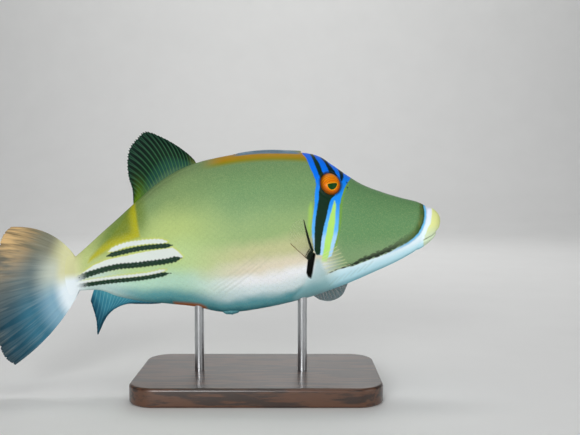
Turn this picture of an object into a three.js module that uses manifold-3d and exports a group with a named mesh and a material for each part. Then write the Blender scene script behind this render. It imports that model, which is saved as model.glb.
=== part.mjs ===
// Life-size model of a picasso triggerfish, nose slightly up, on a display stand.
// Millimetres, +Z up, head towards +X, right flank towards -Y. The stand rests on Z = 0.
// The fish has its own frame, along its body axis, which is pitched and lifted onto the rods.
import * as THREE from 'three';
import { mergeVertices } from 'three/addons/utils/BufferGeometryUtils.js';
import Module from 'manifold-3d';

const wasm = await Module();
wasm.setup();

// Driving dimensions: stance
const gap = 0.3;
const pitch = THREE.MathUtils.degToRad(7);
const axisHeight = 78;

// Driving dimensions: body. The outline runs along the back to the lips and home along the belly.
const tailEnd = -97;
const lipTip = 98.6;
const outlinePoints = [
  [tailEnd, 6.4], [-88, 12.8], [-76, 21.4], [-63, 30.6], [-50, 39.4], [-34, 46.6], [-14, 49.8],
  [6, 49.8], [24, 47.8], [37, 44.3], [45, 38.2], [52, 32], [60, 25.6], [70, 20.3], [80, 16],
  [88, 12.9], [93.6, 9.2], [97.1, 6.1], [lipTip, 2.6], [98, -1], [96.6, -4.2], [94, -7.4], [89, -11],
  [80, -15.3], [68, -19.7], [54, -24], [38, -28.5], [20, -32.2], [2, -34], [-14, -34.7],
  [-26, -33.2], [-38, -29], [-52, -25.6], [-66, -22.4], [-78, -18], [-87, -13.4], [tailEnd, -12.2],
];
const halfWidths = [
  [tailEnd, 3.7], [-80, 5.8], [-60, 9.6], [-40, 13.6], [-18, 16.7], [6, 17.8], [30, 16.9],
  [50, 14.3], [68, 10.6], [82, 7.6], [92, 5.8], [lipTip, 4.6],
];
const widestHeights = [
  [tailEnd, -3], [-76, 1], [-50, 4], [-20, 3], [10, 0], [40, -2], [70, -2], [88, -1], [lipTip, 2.5],
];
const backFullness = [[tailEnd, 2.2], [-60, 1.85], [-10, 1.7], [40, 1.95], [70, 2.1], [lipTip, 2.2]];
const keelFullness = [
  [tailEnd, 2.2], [-80, 1.9], [-55, 1.55], [-20, 1.35], [30, 1.35], [60, 1.6], [85, 2], [lipTip, 2.2],
];
const heightFullness = 2.2;
const tipRoundingStart = 92;
const tipRoundingPower = 2.4;
const swayStart = -30;
const swayRate = 0.0012;

// Driving dimensions: where the body is parted
const gillEdgeX = 33.5;
const gillEdgeZ = 49;
const gillEdgeBow = 0.0013;
const stalkTop = { x: -65, z: 30 };
const stalkBottom = { x: -91.2, z: -12 };
const beyond = 200;

// Driving dimensions: head
const eye = { x: 42.4, z: 28.5, halfLength: 5.9, halfHeight: 6.5, depth: 4.6, sink: 2 };
const orbit = { clearance: 0.45, thickness: 0.85 };
const nostrils = [{ x: 51.4, z: 28 }, { x: 51.2, z: 25.4 }];
const nostrilRadius = 0.8;
const lip = { edgeX: 91.7, slant: 0.38, swell: 0.7, blend: 1.6 };
const mouth = { line: [[88.7, -7.6], [93.3, -6], [97.5, -3.4], [102, -1]], height: 0.5, depth: 1.6 };
const gillSlit = { top: -7, bottom: -19.2, width: 2.9, depth: 4 };

// Driving dimensions: fins
const webHalf = 0.27;
const rayHalf = 0.5;
const marginHalf = 0.25;
const softDorsal = {
  rays: 24,
  front: -27, rear: -63.4,
  margin: [[-28.4, 49.8], [-32.6, 54.6], [-38.2, 59.7], [-45, 64.6], [-52.3, 68.2], [-57.2, 65],
    [-61.6, 60.2], [-63.8, 53], [-64.3, 45], [-63.4, 38.4], [-63.8, 32.6]],
  bow: 2.4, wave: 2.6,
};
const analFin = {
  rays: 21,
  front: -55, rear: -89.6,
  margin: [[-56.4, -25], [-62, -24.7], [-68.5, -23.8], [-75, -22.8], [-81, -24], [-85.8, -27.2],
    [-88.8, -31.6], [-91.2, -36.9], [-91.3, -29], [-93.1, -18.6]],
  bow: 1, wave: 2.4,
};
const caudalFin = {
  rays: 12,
  margin: [[-126.6, 26.4], [-131.6, 22], [-137.8, 9.2], [-141.4, -7.6], [-142, -26], [-139.2, -40],
    [-134, -46]],
  upperBow: 5, lowerBow: 3.2, wave: 2.2,
};
const pectoralFin = {
  rays: 13,
  rootTop: { x: 28.6, z: -4 }, rootBottom: { x: 24.9, z: -8.6 },
};
const pectoralReach = {
  right: [[-2.7, -24.9, 17.1], [-5.2, -24.6, 18], [-7, -23, 16.4], [-7.6, -20, 12.6], [-6.9, -17, 9.6]],
  left: [[18.9, 10, -26], [16, 11.4, -32], [10.4, 11.8, -33.4], [5, 10, -30.6], [1.6, 8, -26]],
};

// Driving dimensions: folded first dorsal fin, its groove and the pelvic knob
const firstDorsal = { front: 29.5, rear: -6, halfWidth: 1.15, rise: 1, depth: 2.4 };
const groove = { side: 0.7, end: 1.2, floor: 0.35, top: 6 };
const pelvicKnob = { x: -18.5, length: 10, width: 4.4, height: 4.6, drop: 1.2 };

// Driving dimensions: rows of small thorns on each side of the tail stalk
const thornRows = [
  { from: [-46, 6.5], to: [-79, 4.8], rise: 1, count: 8 },
  { from: [-42, -0.9], to: [-95, -4.6], rise: 1.1, count: 12 },
  { from: [-49, -8.3], to: [-93, -9.2], rise: -0.3, count: 10 },
];
const thorn = { length: 2, width: 1.2, height: 0.9, sink: 0.6 };

// Driving dimensions: stand
const standBase = { length: 130, width: 80, height: 10, corner: 14, bevel: 1.2 };
const rodRadius = 2.5;
const rodPlaces = [24, -32];
const rodInBase = 6;
const rodInBody = 8;

// Smooth line through [x, value] points, read at any x between its ends
function smoothLine(points) {
  const curve = new THREE.SplineCurve(points.map(([x, value]) => new THREE.Vector2(x, value)));
  return readAt(curve.getPoints(30 * points.length));
}

// Value of a polyline, whose x only grows, at a given x
function readAt(samples) {
  return (x) => {
    const last = samples.length - 1;
    let next = samples.findIndex((sample) => sample.x > x);
    if (next === -1) next = last;
    if (next === 0) next = 1;
    const before = samples[next - 1];
    const after = samples[next];
    const share = THREE.MathUtils.clamp((x - before.x) / (after.x - before.x), 0, 1);
    return THREE.MathUtils.lerp(before.y, after.y, share);
  };
}

// Back line and belly line, from one closed curve that is round at the lips
function outlineLines() {
  const curve = new THREE.SplineCurve(outlinePoints.map(([x, z]) => new THREE.Vector2(x, z)));
  const samples = curve.getPoints(30 * outlinePoints.length);
  const tip = samples.reduce((best, sample, index) => (sample.x > samples[best].x ? index : best), 0);
  return { back: readAt(samples.slice(0, tip + 1)), belly: readAt(samples.slice(tip).reverse()) };
}

const { back: backLine, belly: bellyLine } = outlineLines();
const halfWidthLine = smoothLine(halfWidths);
const widestLine = smoothLine(widestHeights);
const backFullnessLine = smoothLine(backFullness);
const keelFullnessLine = smoothLine(keelFullness);

// Sideways bend of the rear body and tail fin, towards the right flank
function sway(x) {
  return x < swayStart ? -swayRate * (x - swayStart) ** 2 : 0;
}

// Half width of the body at its widest, closing round the lips
function halfWidthAt(x) {
  const share = THREE.MathUtils.clamp((x - tipRoundingStart) / (lipTip - tipRoundingStart), 0, 1);
  return halfWidthLine(x) * Math.sqrt(1 - share ** tipRoundingPower);
}

// Half width of the body at a height of its section
function halfWidthAtHeight(x, z) {
  const middle = widestLine(x);
  const reach = z > middle ? backLine(x) - middle : bellyLine(x) - middle;
  const share = THREE.MathUtils.clamp((z - middle) / reach, 0, 1);
  const fullness = z > middle ? backFullnessLine(x) : keelFullnessLine(x);
  return halfWidthAt(x) * (1 - share ** heightFullness) ** (1 / fullness);
}

// Point on the right (side -1) or left (side 1) flank
function flankPoint(x, z, side) {
  return new THREE.Vector3(x, side * halfWidthAtHeight(x, z) + sway(x), z);
}

// Outward normal of a flank
function flankNormal(x, z, side) {
  const step = 0.5;
  const along = flankPoint(x + step, z, side).sub(flankPoint(x - step, z, side));
  const upward = flankPoint(x, z + step, side).sub(flankPoint(x, z - step, side));
  const normal = along.cross(upward).normalize();
  return normal.y * side < 0 ? normal.negate() : normal;
}

// How far the lips stand proud of the snout
function lipSwell(x, z) {
  const edge = lip.edgeX + lip.slant * z;
  return lip.swell * THREE.MathUtils.smoothstep(x, edge - lip.blend, edge);
}

// One ring of the body's skin, moved outwards by grow
function bodyRing(x, around, grow) {
  const top = backLine(x) + grow;
  const bottom = bellyLine(x) - grow;
  const middle = widestLine(x);
  const ring = [];
  for (let step = 0; step < around; step += 1) {
    const angle = (2 * Math.PI * step) / around;
    const across = Math.cos(angle);
    const upward = Math.sin(angle);
    const fullness = upward > 0 ? backFullnessLine(x) : keelFullnessLine(x);
    const reach = upward > 0 ? top - middle : middle - bottom;
    const z = middle + Math.sign(upward) * reach * Math.abs(upward) ** (2 / heightFullness);
    const wide = halfWidthAt(x) + grow + lipSwell(x, z);
    const y = Math.sign(across) * wide * Math.abs(across) ** (2 / fullness);
    ring.push(new THREE.Vector3(x, y + sway(x), z));
  }
  return ring;
}

// Evenly spaced values from start to end, both included
function spread(start, end, steps) {
  return Array.from({ length: steps + 1 }, (_, index) => THREE.MathUtils.lerp(start, end, index / steps));
}

// Stations along the body, closer together on the head and closest at the lips
function bodyStations(coarse) {
  const snout = spread(0, Math.PI / 2, coarse ? 5 : 8).map((angle) => 86 + (lipTip - 86) * Math.sin(angle));
  const flank = spread(tailEnd, 34, coarse ? 22 : 27);
  const face = spread(34, 86, coarse ? 10 : 15);
  return [...flank.slice(0, -1), ...face.slice(0, -1), ...snout.slice(0, -1)];
}

// Closed surface through rings of equal length, with an end point before and after them
function ringSurface(rings, start, end) {
  const around = rings[0].length;
  const points = [...rings.flat(), start, end];
  const triangles = [];
  for (let ring = 0; ring < rings.length - 1; ring += 1) {
    for (let step = 0; step < around; step += 1) {
      const next = (step + 1) % around;
      const [a, b] = [ring * around + step, ring * around + next];
      const [c, d] = [a + around, b + around];
      triangles.push([a, b, c], [b, d, c]);
    }
  }
  const startIndex = rings.length * around;
  const lastRing = startIndex - around;
  for (let step = 0; step < around; step += 1) {
    const next = (step + 1) % around;
    triangles.push([startIndex, next, step], [startIndex + 1, lastRing + step, lastRing + next]);
  }
  return surface(points, triangles);
}

// Geometry of a closed surface, with its faces turned outwards
function surface(points, triangles) {
  let volume = 0;
  for (const [a, b, c] of triangles) {
    volume += points[a].dot(new THREE.Vector3().crossVectors(points[b], points[c]));
  }
  const facing = volume < 0 ? triangles.map(([a, b, c]) => [a, c, b]) : triangles;
  const geometry = new THREE.BufferGeometry().setFromPoints(points);
  geometry.setIndex(facing.flat());
  return geometry;
}

// Solid for joining and cutting, from a closed geometry
function solid(geometry) {
  const bare = geometry.clone();
  bare.deleteAttribute('normal');
  bare.deleteAttribute('uv');
  const merged = mergeVertices(bare, 1e-4);
  return new wasm.Manifold(new wasm.Mesh({
    numProp: 3,
    vertProperties: new Float32Array(merged.attributes.position.array),
    triVerts: new Uint32Array(merged.index.array),
  }));
}

// Geometry of the largest closed surface of a solid
function largestGeometry(shape) {
  const pieces = shape.decompose();
  const largest = pieces.reduce((best, piece) => (piece.volume() > best.volume() ? piece : best));
  const mesh = largest.getMesh();
  const geometry = new THREE.BufferGeometry();
  geometry.setAttribute('position', new THREE.BufferAttribute(new Float32Array(mesh.vertProperties), 3));
  geometry.setIndex(Array.from(mesh.triVerts));
  return geometry;
}

// Slab across the body, from an outline of [x, z] points
function slab(points, halfDepth = 40) {
  const shape = new THREE.Shape(points.map(([x, z]) => new THREE.Vector2(x, z)));
  const geometry = new THREE.ExtrudeGeometry(shape, { depth: 2 * halfDepth, bevelEnabled: false });
  return geometry.rotateX(Math.PI / 2).translate(0, halfDepth, 0);
}

// Rear edge of the head at a height
function gillEdge(z) {
  return gillEdgeX - gillEdgeBow * (z - gillEdgeZ) ** 2;
}

// Front edge of the tail stalk at a height
function stalkEdge(z) {
  const share = (z - stalkBottom.z) / (stalkTop.z - stalkBottom.z);
  return THREE.MathUtils.lerp(stalkBottom.x, stalkTop.x, share);
}

// Part of space between two edges, each a function of the height
function between(rearEdge, frontEdge) {
  const heights = spread(-80, 90, 34);
  const rear = heights.map((z) => [rearEdge(z), z]);
  const front = heights.map((z) => [frontEdge(z), z]).reverse();
  return solid(slab([...rear, ...front]));
}

// Body skin as a solid, grown outwards or shrunk
function bodySolid(grow = 0, coarse = false) {
  const rings = bodyStations(coarse).map((x) => bodyRing(x, coarse ? 32 : 40, grow));
  const tail = new THREE.Vector3(tailEnd, sway(tailEnd), widestLine(tailEnd));
  return solid(ringSurface(rings, tail, new THREE.Vector3(lipTip + grow, 0, 3)));
}

// Eyeball, flattened along its own axis and grown by a clearance
function eyeball(side, grow) {
  const geometry = new THREE.SphereGeometry(1, 20, 10);
  geometry.scale(eye.halfLength + grow, eye.depth + grow, eye.halfHeight + grow);
  return placeOnFlank(geometry, eye.x, eye.z, side, -eye.sink);
}

// Move a geometry whose own +Y points out of the body onto a flank
function placeOnFlank(geometry, x, z, side, lift = 0) {
  const normal = flankNormal(x, z, side);
  const turn = new THREE.Quaternion().setFromUnitVectors(new THREE.Vector3(0, 1, 0), normal);
  const place = flankPoint(x, z, side).addScaledVector(normal, lift);
  return geometry.applyQuaternion(turn).translate(place.x, place.y, place.z);
}

// Fold of skin round the eye
function orbitRing(side) {
  const radius = eye.halfHeight + orbit.clearance;
  const geometry = new THREE.TorusGeometry(radius, orbit.thickness, 5, 24).rotateX(Math.PI / 2);
  geometry.scale((eye.halfLength + orbit.clearance) / radius, 1, 1);
  return solid(placeOnFlank(geometry, eye.x, eye.z, side));
}

// Line of the mouth, cut a little way in from the skin
function mouthCut(inner) {
  const upper = mouth.line.map(([x, z]) => [x, z + mouth.height / 2]);
  const lower = mouth.line.map(([x, z]) => [x, z - mouth.height / 2]).reverse();
  return solid(slab([...upper, ...lower])).subtract(inner);
}

// Gill opening: a lens behind the edge of the head
function gillOpening(side) {
  const heights = spread(gillSlit.top, gillSlit.bottom, 8);
  const edge = heights.map((z) => [gillEdge(z) + 1, z]);
  const rear = heights.map((z, index) => {
    const share = Math.sin((Math.PI * (index + 0.8)) / (heights.length + 0.6)) ** 0.5;
    return [gillEdge(z) - gap / 2 - gillSlit.width * share, z];
  });
  const lens = solid(slab([...edge, ...rear.reverse()]));
  const heightMiddle = (gillSlit.top + gillSlit.bottom) / 2;
  const outside = side * (halfWidthAtHeight(gillEdge(heightMiddle), heightMiddle) - gillSlit.depth);
  const block = new THREE.BoxGeometry(20, 30, 30);
  block.translate(gillEdge(heightMiddle), outside + side * 15, heightMiddle);
  return lens.intersect(solid(block));
}

// Small thorns in rows on the tail stalk, each a low four-sided spike that points forward
function thorns() {
  const pieces = [];
  for (const row of thornRows) {
    for (const share of spread(0, 1, row.count - 1)) {
      const x = THREE.MathUtils.lerp(row.from[0], row.to[0], share);
      const arch = row.rise * 4 * share * (1 - share);
      const z = THREE.MathUtils.lerp(row.from[1], row.to[1], share) + arch;
      for (const side of [-1, 1]) {
        const geometry = new THREE.ConeGeometry(thorn.width / 2, thorn.length, 4);
        geometry.rotateZ(-Math.PI / 3).scale(1, 1, 1.2);
        pieces.push(solid(placeOnFlank(geometry, x, z, side, thorn.height / 2 - thorn.sink / 2)));
      }
    }
  }
  return pieces;
}

// Folded first dorsal fin: sections of a slim boat shape that lies in the groove
function boatShape(front, rear, halfWidth, rise, depth, steps, sides) {
  const rings = spread(0.03, 0.97, steps).map((share) => {
    const x = THREE.MathUtils.lerp(rear, front, share);
    const fullness = Math.sin(Math.PI * Math.min(share * 1.1, 1 - (share - 0.45) * 0.55)) ** 0.5;
    return spread(0, 2 * Math.PI * (1 - 1 / sides), sides - 1).map((angle) => {
      const upward = Math.sin(angle);
      const y = halfWidth * fullness * Math.cos(angle);
      return new THREE.Vector3(x, y, backLine(x) + (upward > 0 ? rise : depth) * fullness * upward);
    });
  });
  const rearPoint = new THREE.Vector3(rear, 0, backLine(rear));
  const frontPoint = new THREE.Vector3(front, 0, backLine(front) - depth / 2);
  return solid(ringSurface(rings, rearPoint, frontPoint));
}

// Thin curved fin. middle(u, v) gives its middle surface, u across the rays and v from the root
// to the margin. Both faces are split into the same triangles, and the rays are raised ridges.
function finSurface({ rays, branched = false, rows, middle, rootHalf, rootLength }) {
  const perRay = branched ? 4 : 2;
  const columns = (rays - 1) * perRay;
  const left = [];
  const right = [];
  for (let column = 0; column <= columns; column += 1) {
    const u = column / columns;
    for (const v of rows) {
      const centre = middle(u, v);
      const acrossStep = middle(Math.min(u + 0.01, 1), v).sub(middle(Math.max(u - 0.01, 0), v));
      const alongStep = middle(u, v + 0.01).sub(middle(u, v - 0.01));
      const normal = acrossStep.cross(alongStep).normalize();
      const ridge = ridgeHeight(column % perRay, v, branched);
      const web = THREE.MathUtils.lerp(webHalf, marginHalf, v);
      const root = rootHalf(u) * Math.max(0, 1 - v / rootLength) ** 2;
      const half = Math.max(root, web + (rayHalf - webHalf) * ridge * (1 - 0.8 * v));
      left.push(centre.clone().addScaledVector(normal, half));
      right.push(centre.clone().addScaledVector(normal, -half));
    }
  }
  return sheetSurface(left, right, columns + 1, rows.length);
}

// How far the surface is raised at a column: 1 on a ray, 0 on the web between rays
function ridgeHeight(place, v, branched) {
  if (!branched) return place === 0 ? 1 : 0;
  const fork = THREE.MathUtils.smoothstep(v, 0.3, 0.6);
  return [1 - 0.8 * fork, fork, 0, fork][place];
}

// Closed surface of two like grids of points, back to back
function sheetSurface(left, right, columns, rows) {
  const other = left.length;
  const triangles = [];
  const at = (column, row) => column * rows + row;
  for (let column = 0; column < columns - 1; column += 1) {
    for (let row = 0; row < rows - 1; row += 1) {
      const [a, b] = [at(column, row), at(column + 1, row)];
      const [c, d] = [at(column + 1, row + 1), at(column, row + 1)];
      triangles.push([a, b, c], [a, c, d]);
      triangles.push([a + other, c + other, b + other], [a + other, d + other, c + other]);
    }
  }
  const columnSteps = [...Array(columns).keys()];
  const rowSteps = [...Array(rows).keys()];
  const rim = [
    ...columnSteps.slice(0, -1).map((column) => at(column, 0)),
    ...rowSteps.slice(0, -1).map((row) => at(columns - 1, row)),
    ...columnSteps.slice(1).reverse().map((column) => at(column, rows - 1)),
    ...rowSteps.slice(1).reverse().map((row) => at(0, row)),
  ];
  rim.forEach((from, index) => {
    const to = rim[(index + 1) % rim.length];
    triangles.push([from, from + other, to], [to, from + other, to + other]);
  });
  return surface([...left, ...right], triangles);
}

// Middle surface of a fin on the back or belly line, its root sunk a little into the body
function medianSheet(fin, baseLine, rootSink, bowSide) {
  const margin = new THREE.SplineCurve(fin.margin.map(([x, z]) => new THREE.Vector2(x, z)));
  return (u, v) => {
    const rootX = THREE.MathUtils.lerp(fin.front, fin.rear, u);
    const root = new THREE.Vector2(rootX, baseLine(rootX) - rootSink * bowSide);
    const end = margin.getPoint(THREE.MathUtils.clamp(u, 0, 1));
    const bow = fin.bow * 4 * v * (1 - v) * Math.sin(Math.PI * u);
    const place = root.lerp(end, v);
    const bend = fin.wave * Math.sin(2.2 * Math.PI * u + 0.4) * Math.max(v, 0) ** 1.6;
    return new THREE.Vector3(place.x + bow * 0.9, sway(place.x) + bend, place.y + bow * 0.44 * bowSide);
  };
}

// Middle surface of the tail fin, from the end of the stalk
function caudalSheet() {
  const margin = new THREE.SplineCurve(caudalFin.margin.map(([x, z]) => new THREE.Vector2(x, z)));
  const top = backLine(tailEnd) - webHalf;
  const bottom = bellyLine(tailEnd) + webHalf;
  return (u, v) => {
    const root = new THREE.Vector2(tailEnd - gap, THREE.MathUtils.lerp(top, bottom, u));
    const end = margin.getPoint(THREE.MathUtils.clamp(u, 0, 1));
    const arch = 4 * v * (1 - v);
    const upperRise = caudalFin.upperBow * Math.max(0, 1 - 2 * u) ** 1.5;
    const lowerRise = caudalFin.lowerBow * Math.max(0, 2 * u - 1) ** 1.5;
    const rise = upperRise - lowerRise;
    const place = root.lerp(end, v);
    const bend = caudalFin.wave * Math.sin(Math.PI * (2 * u - 0.5)) * Math.max(v, 0) ** 2;
    const x = place.x + 0.55 * Math.abs(rise) * arch;
    return new THREE.Vector3(x, sway(x) + bend, place.y + 0.83 * rise * arch);
  };
}

// Middle surface of a paired fin, a fan from a short root on the flank
function pectoralSheet(side, reachPoints) {
  const reach = new THREE.CatmullRomCurve3(reachPoints.map((point) => new THREE.Vector3(...point)));
  const { rootTop, rootBottom } = pectoralFin;
  return (u, v) => {
    const x = THREE.MathUtils.lerp(rootTop.x, rootBottom.x, u);
    const z = THREE.MathUtils.lerp(rootTop.z, rootBottom.z, u);
    const root = flankPoint(x, z, side);
    const along = reach.getPoint(THREE.MathUtils.clamp(u, 0, 1));
    const cup = 1.6 * Math.sin(Math.PI * u) * v * v;
    return root.addScaledVector(along, v).add(new THREE.Vector3(-cup * 0.4, side * cup, 0));
  };
}

// Meshes
const model = new THREE.Group();
const fish = new THREE.Group();
fish.rotation.y = -pitch;
fish.position.z = axisHeight;
model.add(fish);

function addMesh(group, name, geometry, color, roughness, metalness = 0) {
  const material = new THREE.MeshStandardMaterial({ color, roughness, metalness });
  geometry.computeVertexNormals();
  const mesh = new THREE.Mesh(geometry, material);
  mesh.name = name;
  group.add(mesh);
}

const skinColor = 0x93ad7c;
const finColor = 0x5f8f96;
const skinRoughness = 0.45;

// Body, parted into head, torso and tail stalk
const grownBody = bodySolid(gap, true);
const innerBody = bodySolid(-mouth.depth, true);
let body = bodySolid();
for (const piece of thorns()) body = body.add(piece);
for (const side of [-1, 1]) {
  body = body.add(orbitRing(side)).subtract(solid(eyeball(side, gap)));
  for (const nostril of nostrils) {
    const hole = new THREE.SphereGeometry(nostrilRadius, 8, 6);
    body = body.subtract(solid(placeOnFlank(hole, nostril.x, nostril.z, side)));
  }
}
body = body.subtract(mouthCut(innerBody));

const grooveCut = boatShape(firstDorsal.front + groove.end, firstDorsal.rear - groove.end,
  firstDorsal.halfWidth + groove.side, groove.top, firstDorsal.depth + groove.floor, 16, 12);
const headRegion = between((z) => gillEdge(z) + gap / 2, () => beyond);
const torsoRegion = between((z) => stalkEdge(z) + gap / 2, (z) => gillEdge(z) - gap / 2);
const stalkRegion = between(() => -beyond, (z) => stalkEdge(z) - gap / 2);

// Rods stand upright in the room, so the sockets that they enter are turned into the fish's frame
fish.updateMatrixWorld(true);
const intoFish = fish.matrixWorld.clone().invert();

function rod(x, grow) {
  const inFish = new THREE.Vector3(x, 0, axisHeight + bellyLine(x)).applyMatrix4(intoFish);
  const entry = new THREE.Vector3(inFish.x, 0, bellyLine(inFish.x)).applyMatrix4(fish.matrixWorld).z;
  const bottom = standBase.height - rodInBase + gap - grow;
  const top = entry + rodInBody + grow;
  const geometry = new THREE.CylinderGeometry(rodRadius + grow, rodRadius + grow, top - bottom, 16);
  return geometry.rotateX(Math.PI / 2).translate(x, 0, (top + bottom) / 2);
}

let torso = body.intersect(torsoRegion).subtract(grooveCut);
for (const side of [-1, 1]) torso = torso.subtract(gillOpening(side));
for (const x of rodPlaces) torso = torso.subtract(solid(rod(x, gap).applyMatrix4(intoFish)));

addMesh(fish, 'head', largestGeometry(body.intersect(headRegion)), skinColor, skinRoughness);
addMesh(fish, 'torso', largestGeometry(torso), skinColor, skinRoughness);
addMesh(fish, 'tail_stalk', largestGeometry(body.intersect(stalkRegion)), skinColor, skinRoughness);
addMesh(fish, 'eye_right', largestGeometry(solid(eyeball(-1, 0))), 0xd87a12, 0.2);
addMesh(fish, 'eye_left', largestGeometry(solid(eyeball(1, 0))), 0xd87a12, 0.2);

// Fins
const finRows = [0, 0.1, 0.22, 0.38, 0.54, 0.7, 0.85, 1];
const fleshyRoot = () => 0.9;
const dorsalSheet = finSurface({
  rays: softDorsal.rays, rows: finRows, middle: medianSheet(softDorsal, backLine, 1.5, 1),
  rootHalf: fleshyRoot, rootLength: 0.3,
});
const analSheet = finSurface({
  rays: analFin.rays, rows: finRows, middle: medianSheet(analFin, bellyLine, 1.5, -1),
  rootHalf: fleshyRoot, rootLength: 0.3,
});
addMesh(fish, 'soft_dorsal_fin', largestGeometry(solid(dorsalSheet).subtract(grownBody)), 0x2f5f4a, 0.5);
addMesh(fish, 'anal_fin', largestGeometry(solid(analSheet).subtract(grownBody)), finColor, 0.5);

const caudalRows = [-0.04, 0.05, 0.11, 0.18, 0.28, 0.4, 0.52, 0.64, 0.76, 0.88, 1];

// Half width of the stalk's end, where the tail fin grows from it
function stalkEndHalf(u) {
  return halfWidthAtHeight(tailEnd, THREE.MathUtils.lerp(backLine(tailEnd), bellyLine(tailEnd), u));
}

const caudal = finSurface({
  rays: caudalFin.rays, branched: true, rows: caudalRows, middle: caudalSheet(),
  rootHalf: stalkEndHalf, rootLength: 0.26,
});
const behindStalk = between(() => -beyond, () => tailEnd - gap);
addMesh(fish, 'caudal_fin', largestGeometry(solid(caudal).intersect(behindStalk)), finColor, 0.5);

const pectoralRows = [-0.08, 0.06, 0.16, 0.3, 0.48, 0.66, 0.84, 1];
for (const [name, side] of [['right', -1], ['left', 1]]) {
  const sheet = finSurface({
    rays: pectoralFin.rays, rows: pectoralRows, middle: pectoralSheet(side, pectoralReach[name]),
    rootHalf: () => 0.8, rootLength: 0.25,
  });
  addMesh(fish, `pectoral_fin_${name}`, largestGeometry(solid(sheet).subtract(grownBody)), 0xb9c48e, 0.5);
}

const foldedFin = boatShape(firstDorsal.front, firstDorsal.rear, firstDorsal.halfWidth, firstDorsal.rise,
  firstDorsal.depth, 16, 10);
addMesh(fish, 'first_dorsal_fin', largestGeometry(foldedFin), 0x6f8a9a, 0.5);

const knob = new THREE.SphereGeometry(1, 14, 10);
knob.scale(pelvicKnob.length / 2, pelvicKnob.width / 2, pelvicKnob.height / 2);
knob.translate(pelvicKnob.x, 0, bellyLine(pelvicKnob.x) + pelvicKnob.height / 2 - pelvicKnob.drop - gap);
addMesh(fish, 'pelvic_spine', largestGeometry(solid(knob).subtract(grownBody)), 0x8fb0a6, 0.5);

// Stand: a rounded base with two rods in blind holes
const cornerX = standBase.length / 2 - standBase.bevel - standBase.corner;
const cornerY = standBase.width / 2 - standBase.bevel - standBase.corner;
const footprint = new THREE.Shape();
for (const [quarter, [right, back]] of [[1, 1], [-1, 1], [-1, -1], [1, -1]].entries()) {
  const start = (quarter * Math.PI) / 2;
  footprint.absarc(right * cornerX, back * cornerY, standBase.corner, start, start + Math.PI / 2);
}
const plate = new THREE.ExtrudeGeometry(footprint, {
  depth: standBase.height - 2 * standBase.bevel, bevelThickness: standBase.bevel, bevelSize: standBase.bevel,
  bevelSegments: 1, curveSegments: 6,
});
let base = solid(plate.translate(0, 0, standBase.bevel));
for (const x of rodPlaces) base = base.subtract(solid(rod(x, gap)));
addMesh(model, 'stand_base', largestGeometry(base), 0x2b211b, 0.35);
addMesh(model, 'stand_rod_front', largestGeometry(solid(rod(rodPlaces[0], 0))), 0xb5b8bb, 0.3, 1);
addMesh(model, 'stand_rod_rear', largestGeometry(solid(rod(rodPlaces[1], 0))), 0xb5b8bb, 0.3, 1);

export default model;
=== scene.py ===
"""Life-size picasso triggerfish on a display stand: skin, fins, eyes, stand, floor, lights and camera.

The fish is drawn in its own frame, in millimetres: x along the body towards the head, y towards the
left flank, z up. The frame is then pitched and lifted onto the rods, as in the solids.
"""

import math

import bpy
import numpy as np
from mathutils import Matrix, Vector


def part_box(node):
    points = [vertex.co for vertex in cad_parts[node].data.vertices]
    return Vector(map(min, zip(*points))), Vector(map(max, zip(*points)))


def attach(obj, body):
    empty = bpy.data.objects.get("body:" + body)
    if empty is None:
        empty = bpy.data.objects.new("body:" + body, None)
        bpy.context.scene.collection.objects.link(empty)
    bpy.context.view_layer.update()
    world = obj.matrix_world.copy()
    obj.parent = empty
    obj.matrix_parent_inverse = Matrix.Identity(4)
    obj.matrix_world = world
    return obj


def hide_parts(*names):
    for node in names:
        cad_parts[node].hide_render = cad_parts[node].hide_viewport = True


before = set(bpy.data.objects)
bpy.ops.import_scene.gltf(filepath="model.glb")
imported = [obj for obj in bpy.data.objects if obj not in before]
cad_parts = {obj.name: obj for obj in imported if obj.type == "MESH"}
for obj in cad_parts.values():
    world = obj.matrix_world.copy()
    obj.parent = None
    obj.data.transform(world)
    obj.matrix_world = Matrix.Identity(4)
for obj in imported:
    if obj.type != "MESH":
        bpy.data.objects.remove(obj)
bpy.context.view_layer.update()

# Driving values: stance
MM = 0.001
PITCH = math.radians(7)
AXIS_HEIGHT = 78.0

# Driving values: camera, in millimetres of the room
PHOTO_WIDTH, PHOTO_HEIGHT = 580, 435
LENS, SENSOR = 50.0, 36.0
CAMERA_AIM = np.array([17.3, 0.0, 93.0])
CAMERA_DISTANCE = 435.0
CAMERA_ELEVATION = math.radians(3)

# Driving values: body, as in the solids
TAIL_END, LIP_TIP = -97.0, 98.6
OUTLINE = [
    (TAIL_END, 6.4), (-88, 12.8), (-76, 21.4), (-63, 30.6), (-50, 39.4), (-34, 46.6), (-14, 49.8),
    (6, 49.8), (24, 47.8), (37, 44.3), (45, 38.2), (52, 32), (60, 25.6), (70, 20.3), (80, 16),
    (88, 12.9), (93.6, 9.2), (97.1, 6.1), (LIP_TIP, 2.6), (98, -1), (96.6, -4.2), (94, -7.4), (89, -11),
    (80, -15.3), (68, -19.7), (54, -24), (38, -28.5), (20, -32.2), (2, -34), (-14, -34.7),
    (-26, -33.2), (-38, -29), (-52, -25.6), (-66, -22.4), (-78, -18), (-87, -13.4), (TAIL_END, -12.2),
]
HALF_WIDTHS = [
    (TAIL_END, 3.7), (-80, 5.8), (-60, 9.6), (-40, 13.6), (-18, 16.7), (6, 17.8), (30, 16.9),
    (50, 14.3), (68, 10.6), (82, 7.6), (92, 5.8), (LIP_TIP, 4.6),
]
WIDEST_HEIGHTS = [
    (TAIL_END, -3), (-76, 1), (-50, 4), (-20, 3), (10, 0), (40, -2), (70, -2), (88, -1), (LIP_TIP, 2.5),
]
BACK_FULLNESS = [(TAIL_END, 2.2), (-60, 1.85), (-10, 1.7), (40, 1.95), (70, 2.1), (LIP_TIP, 2.2)]
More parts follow.
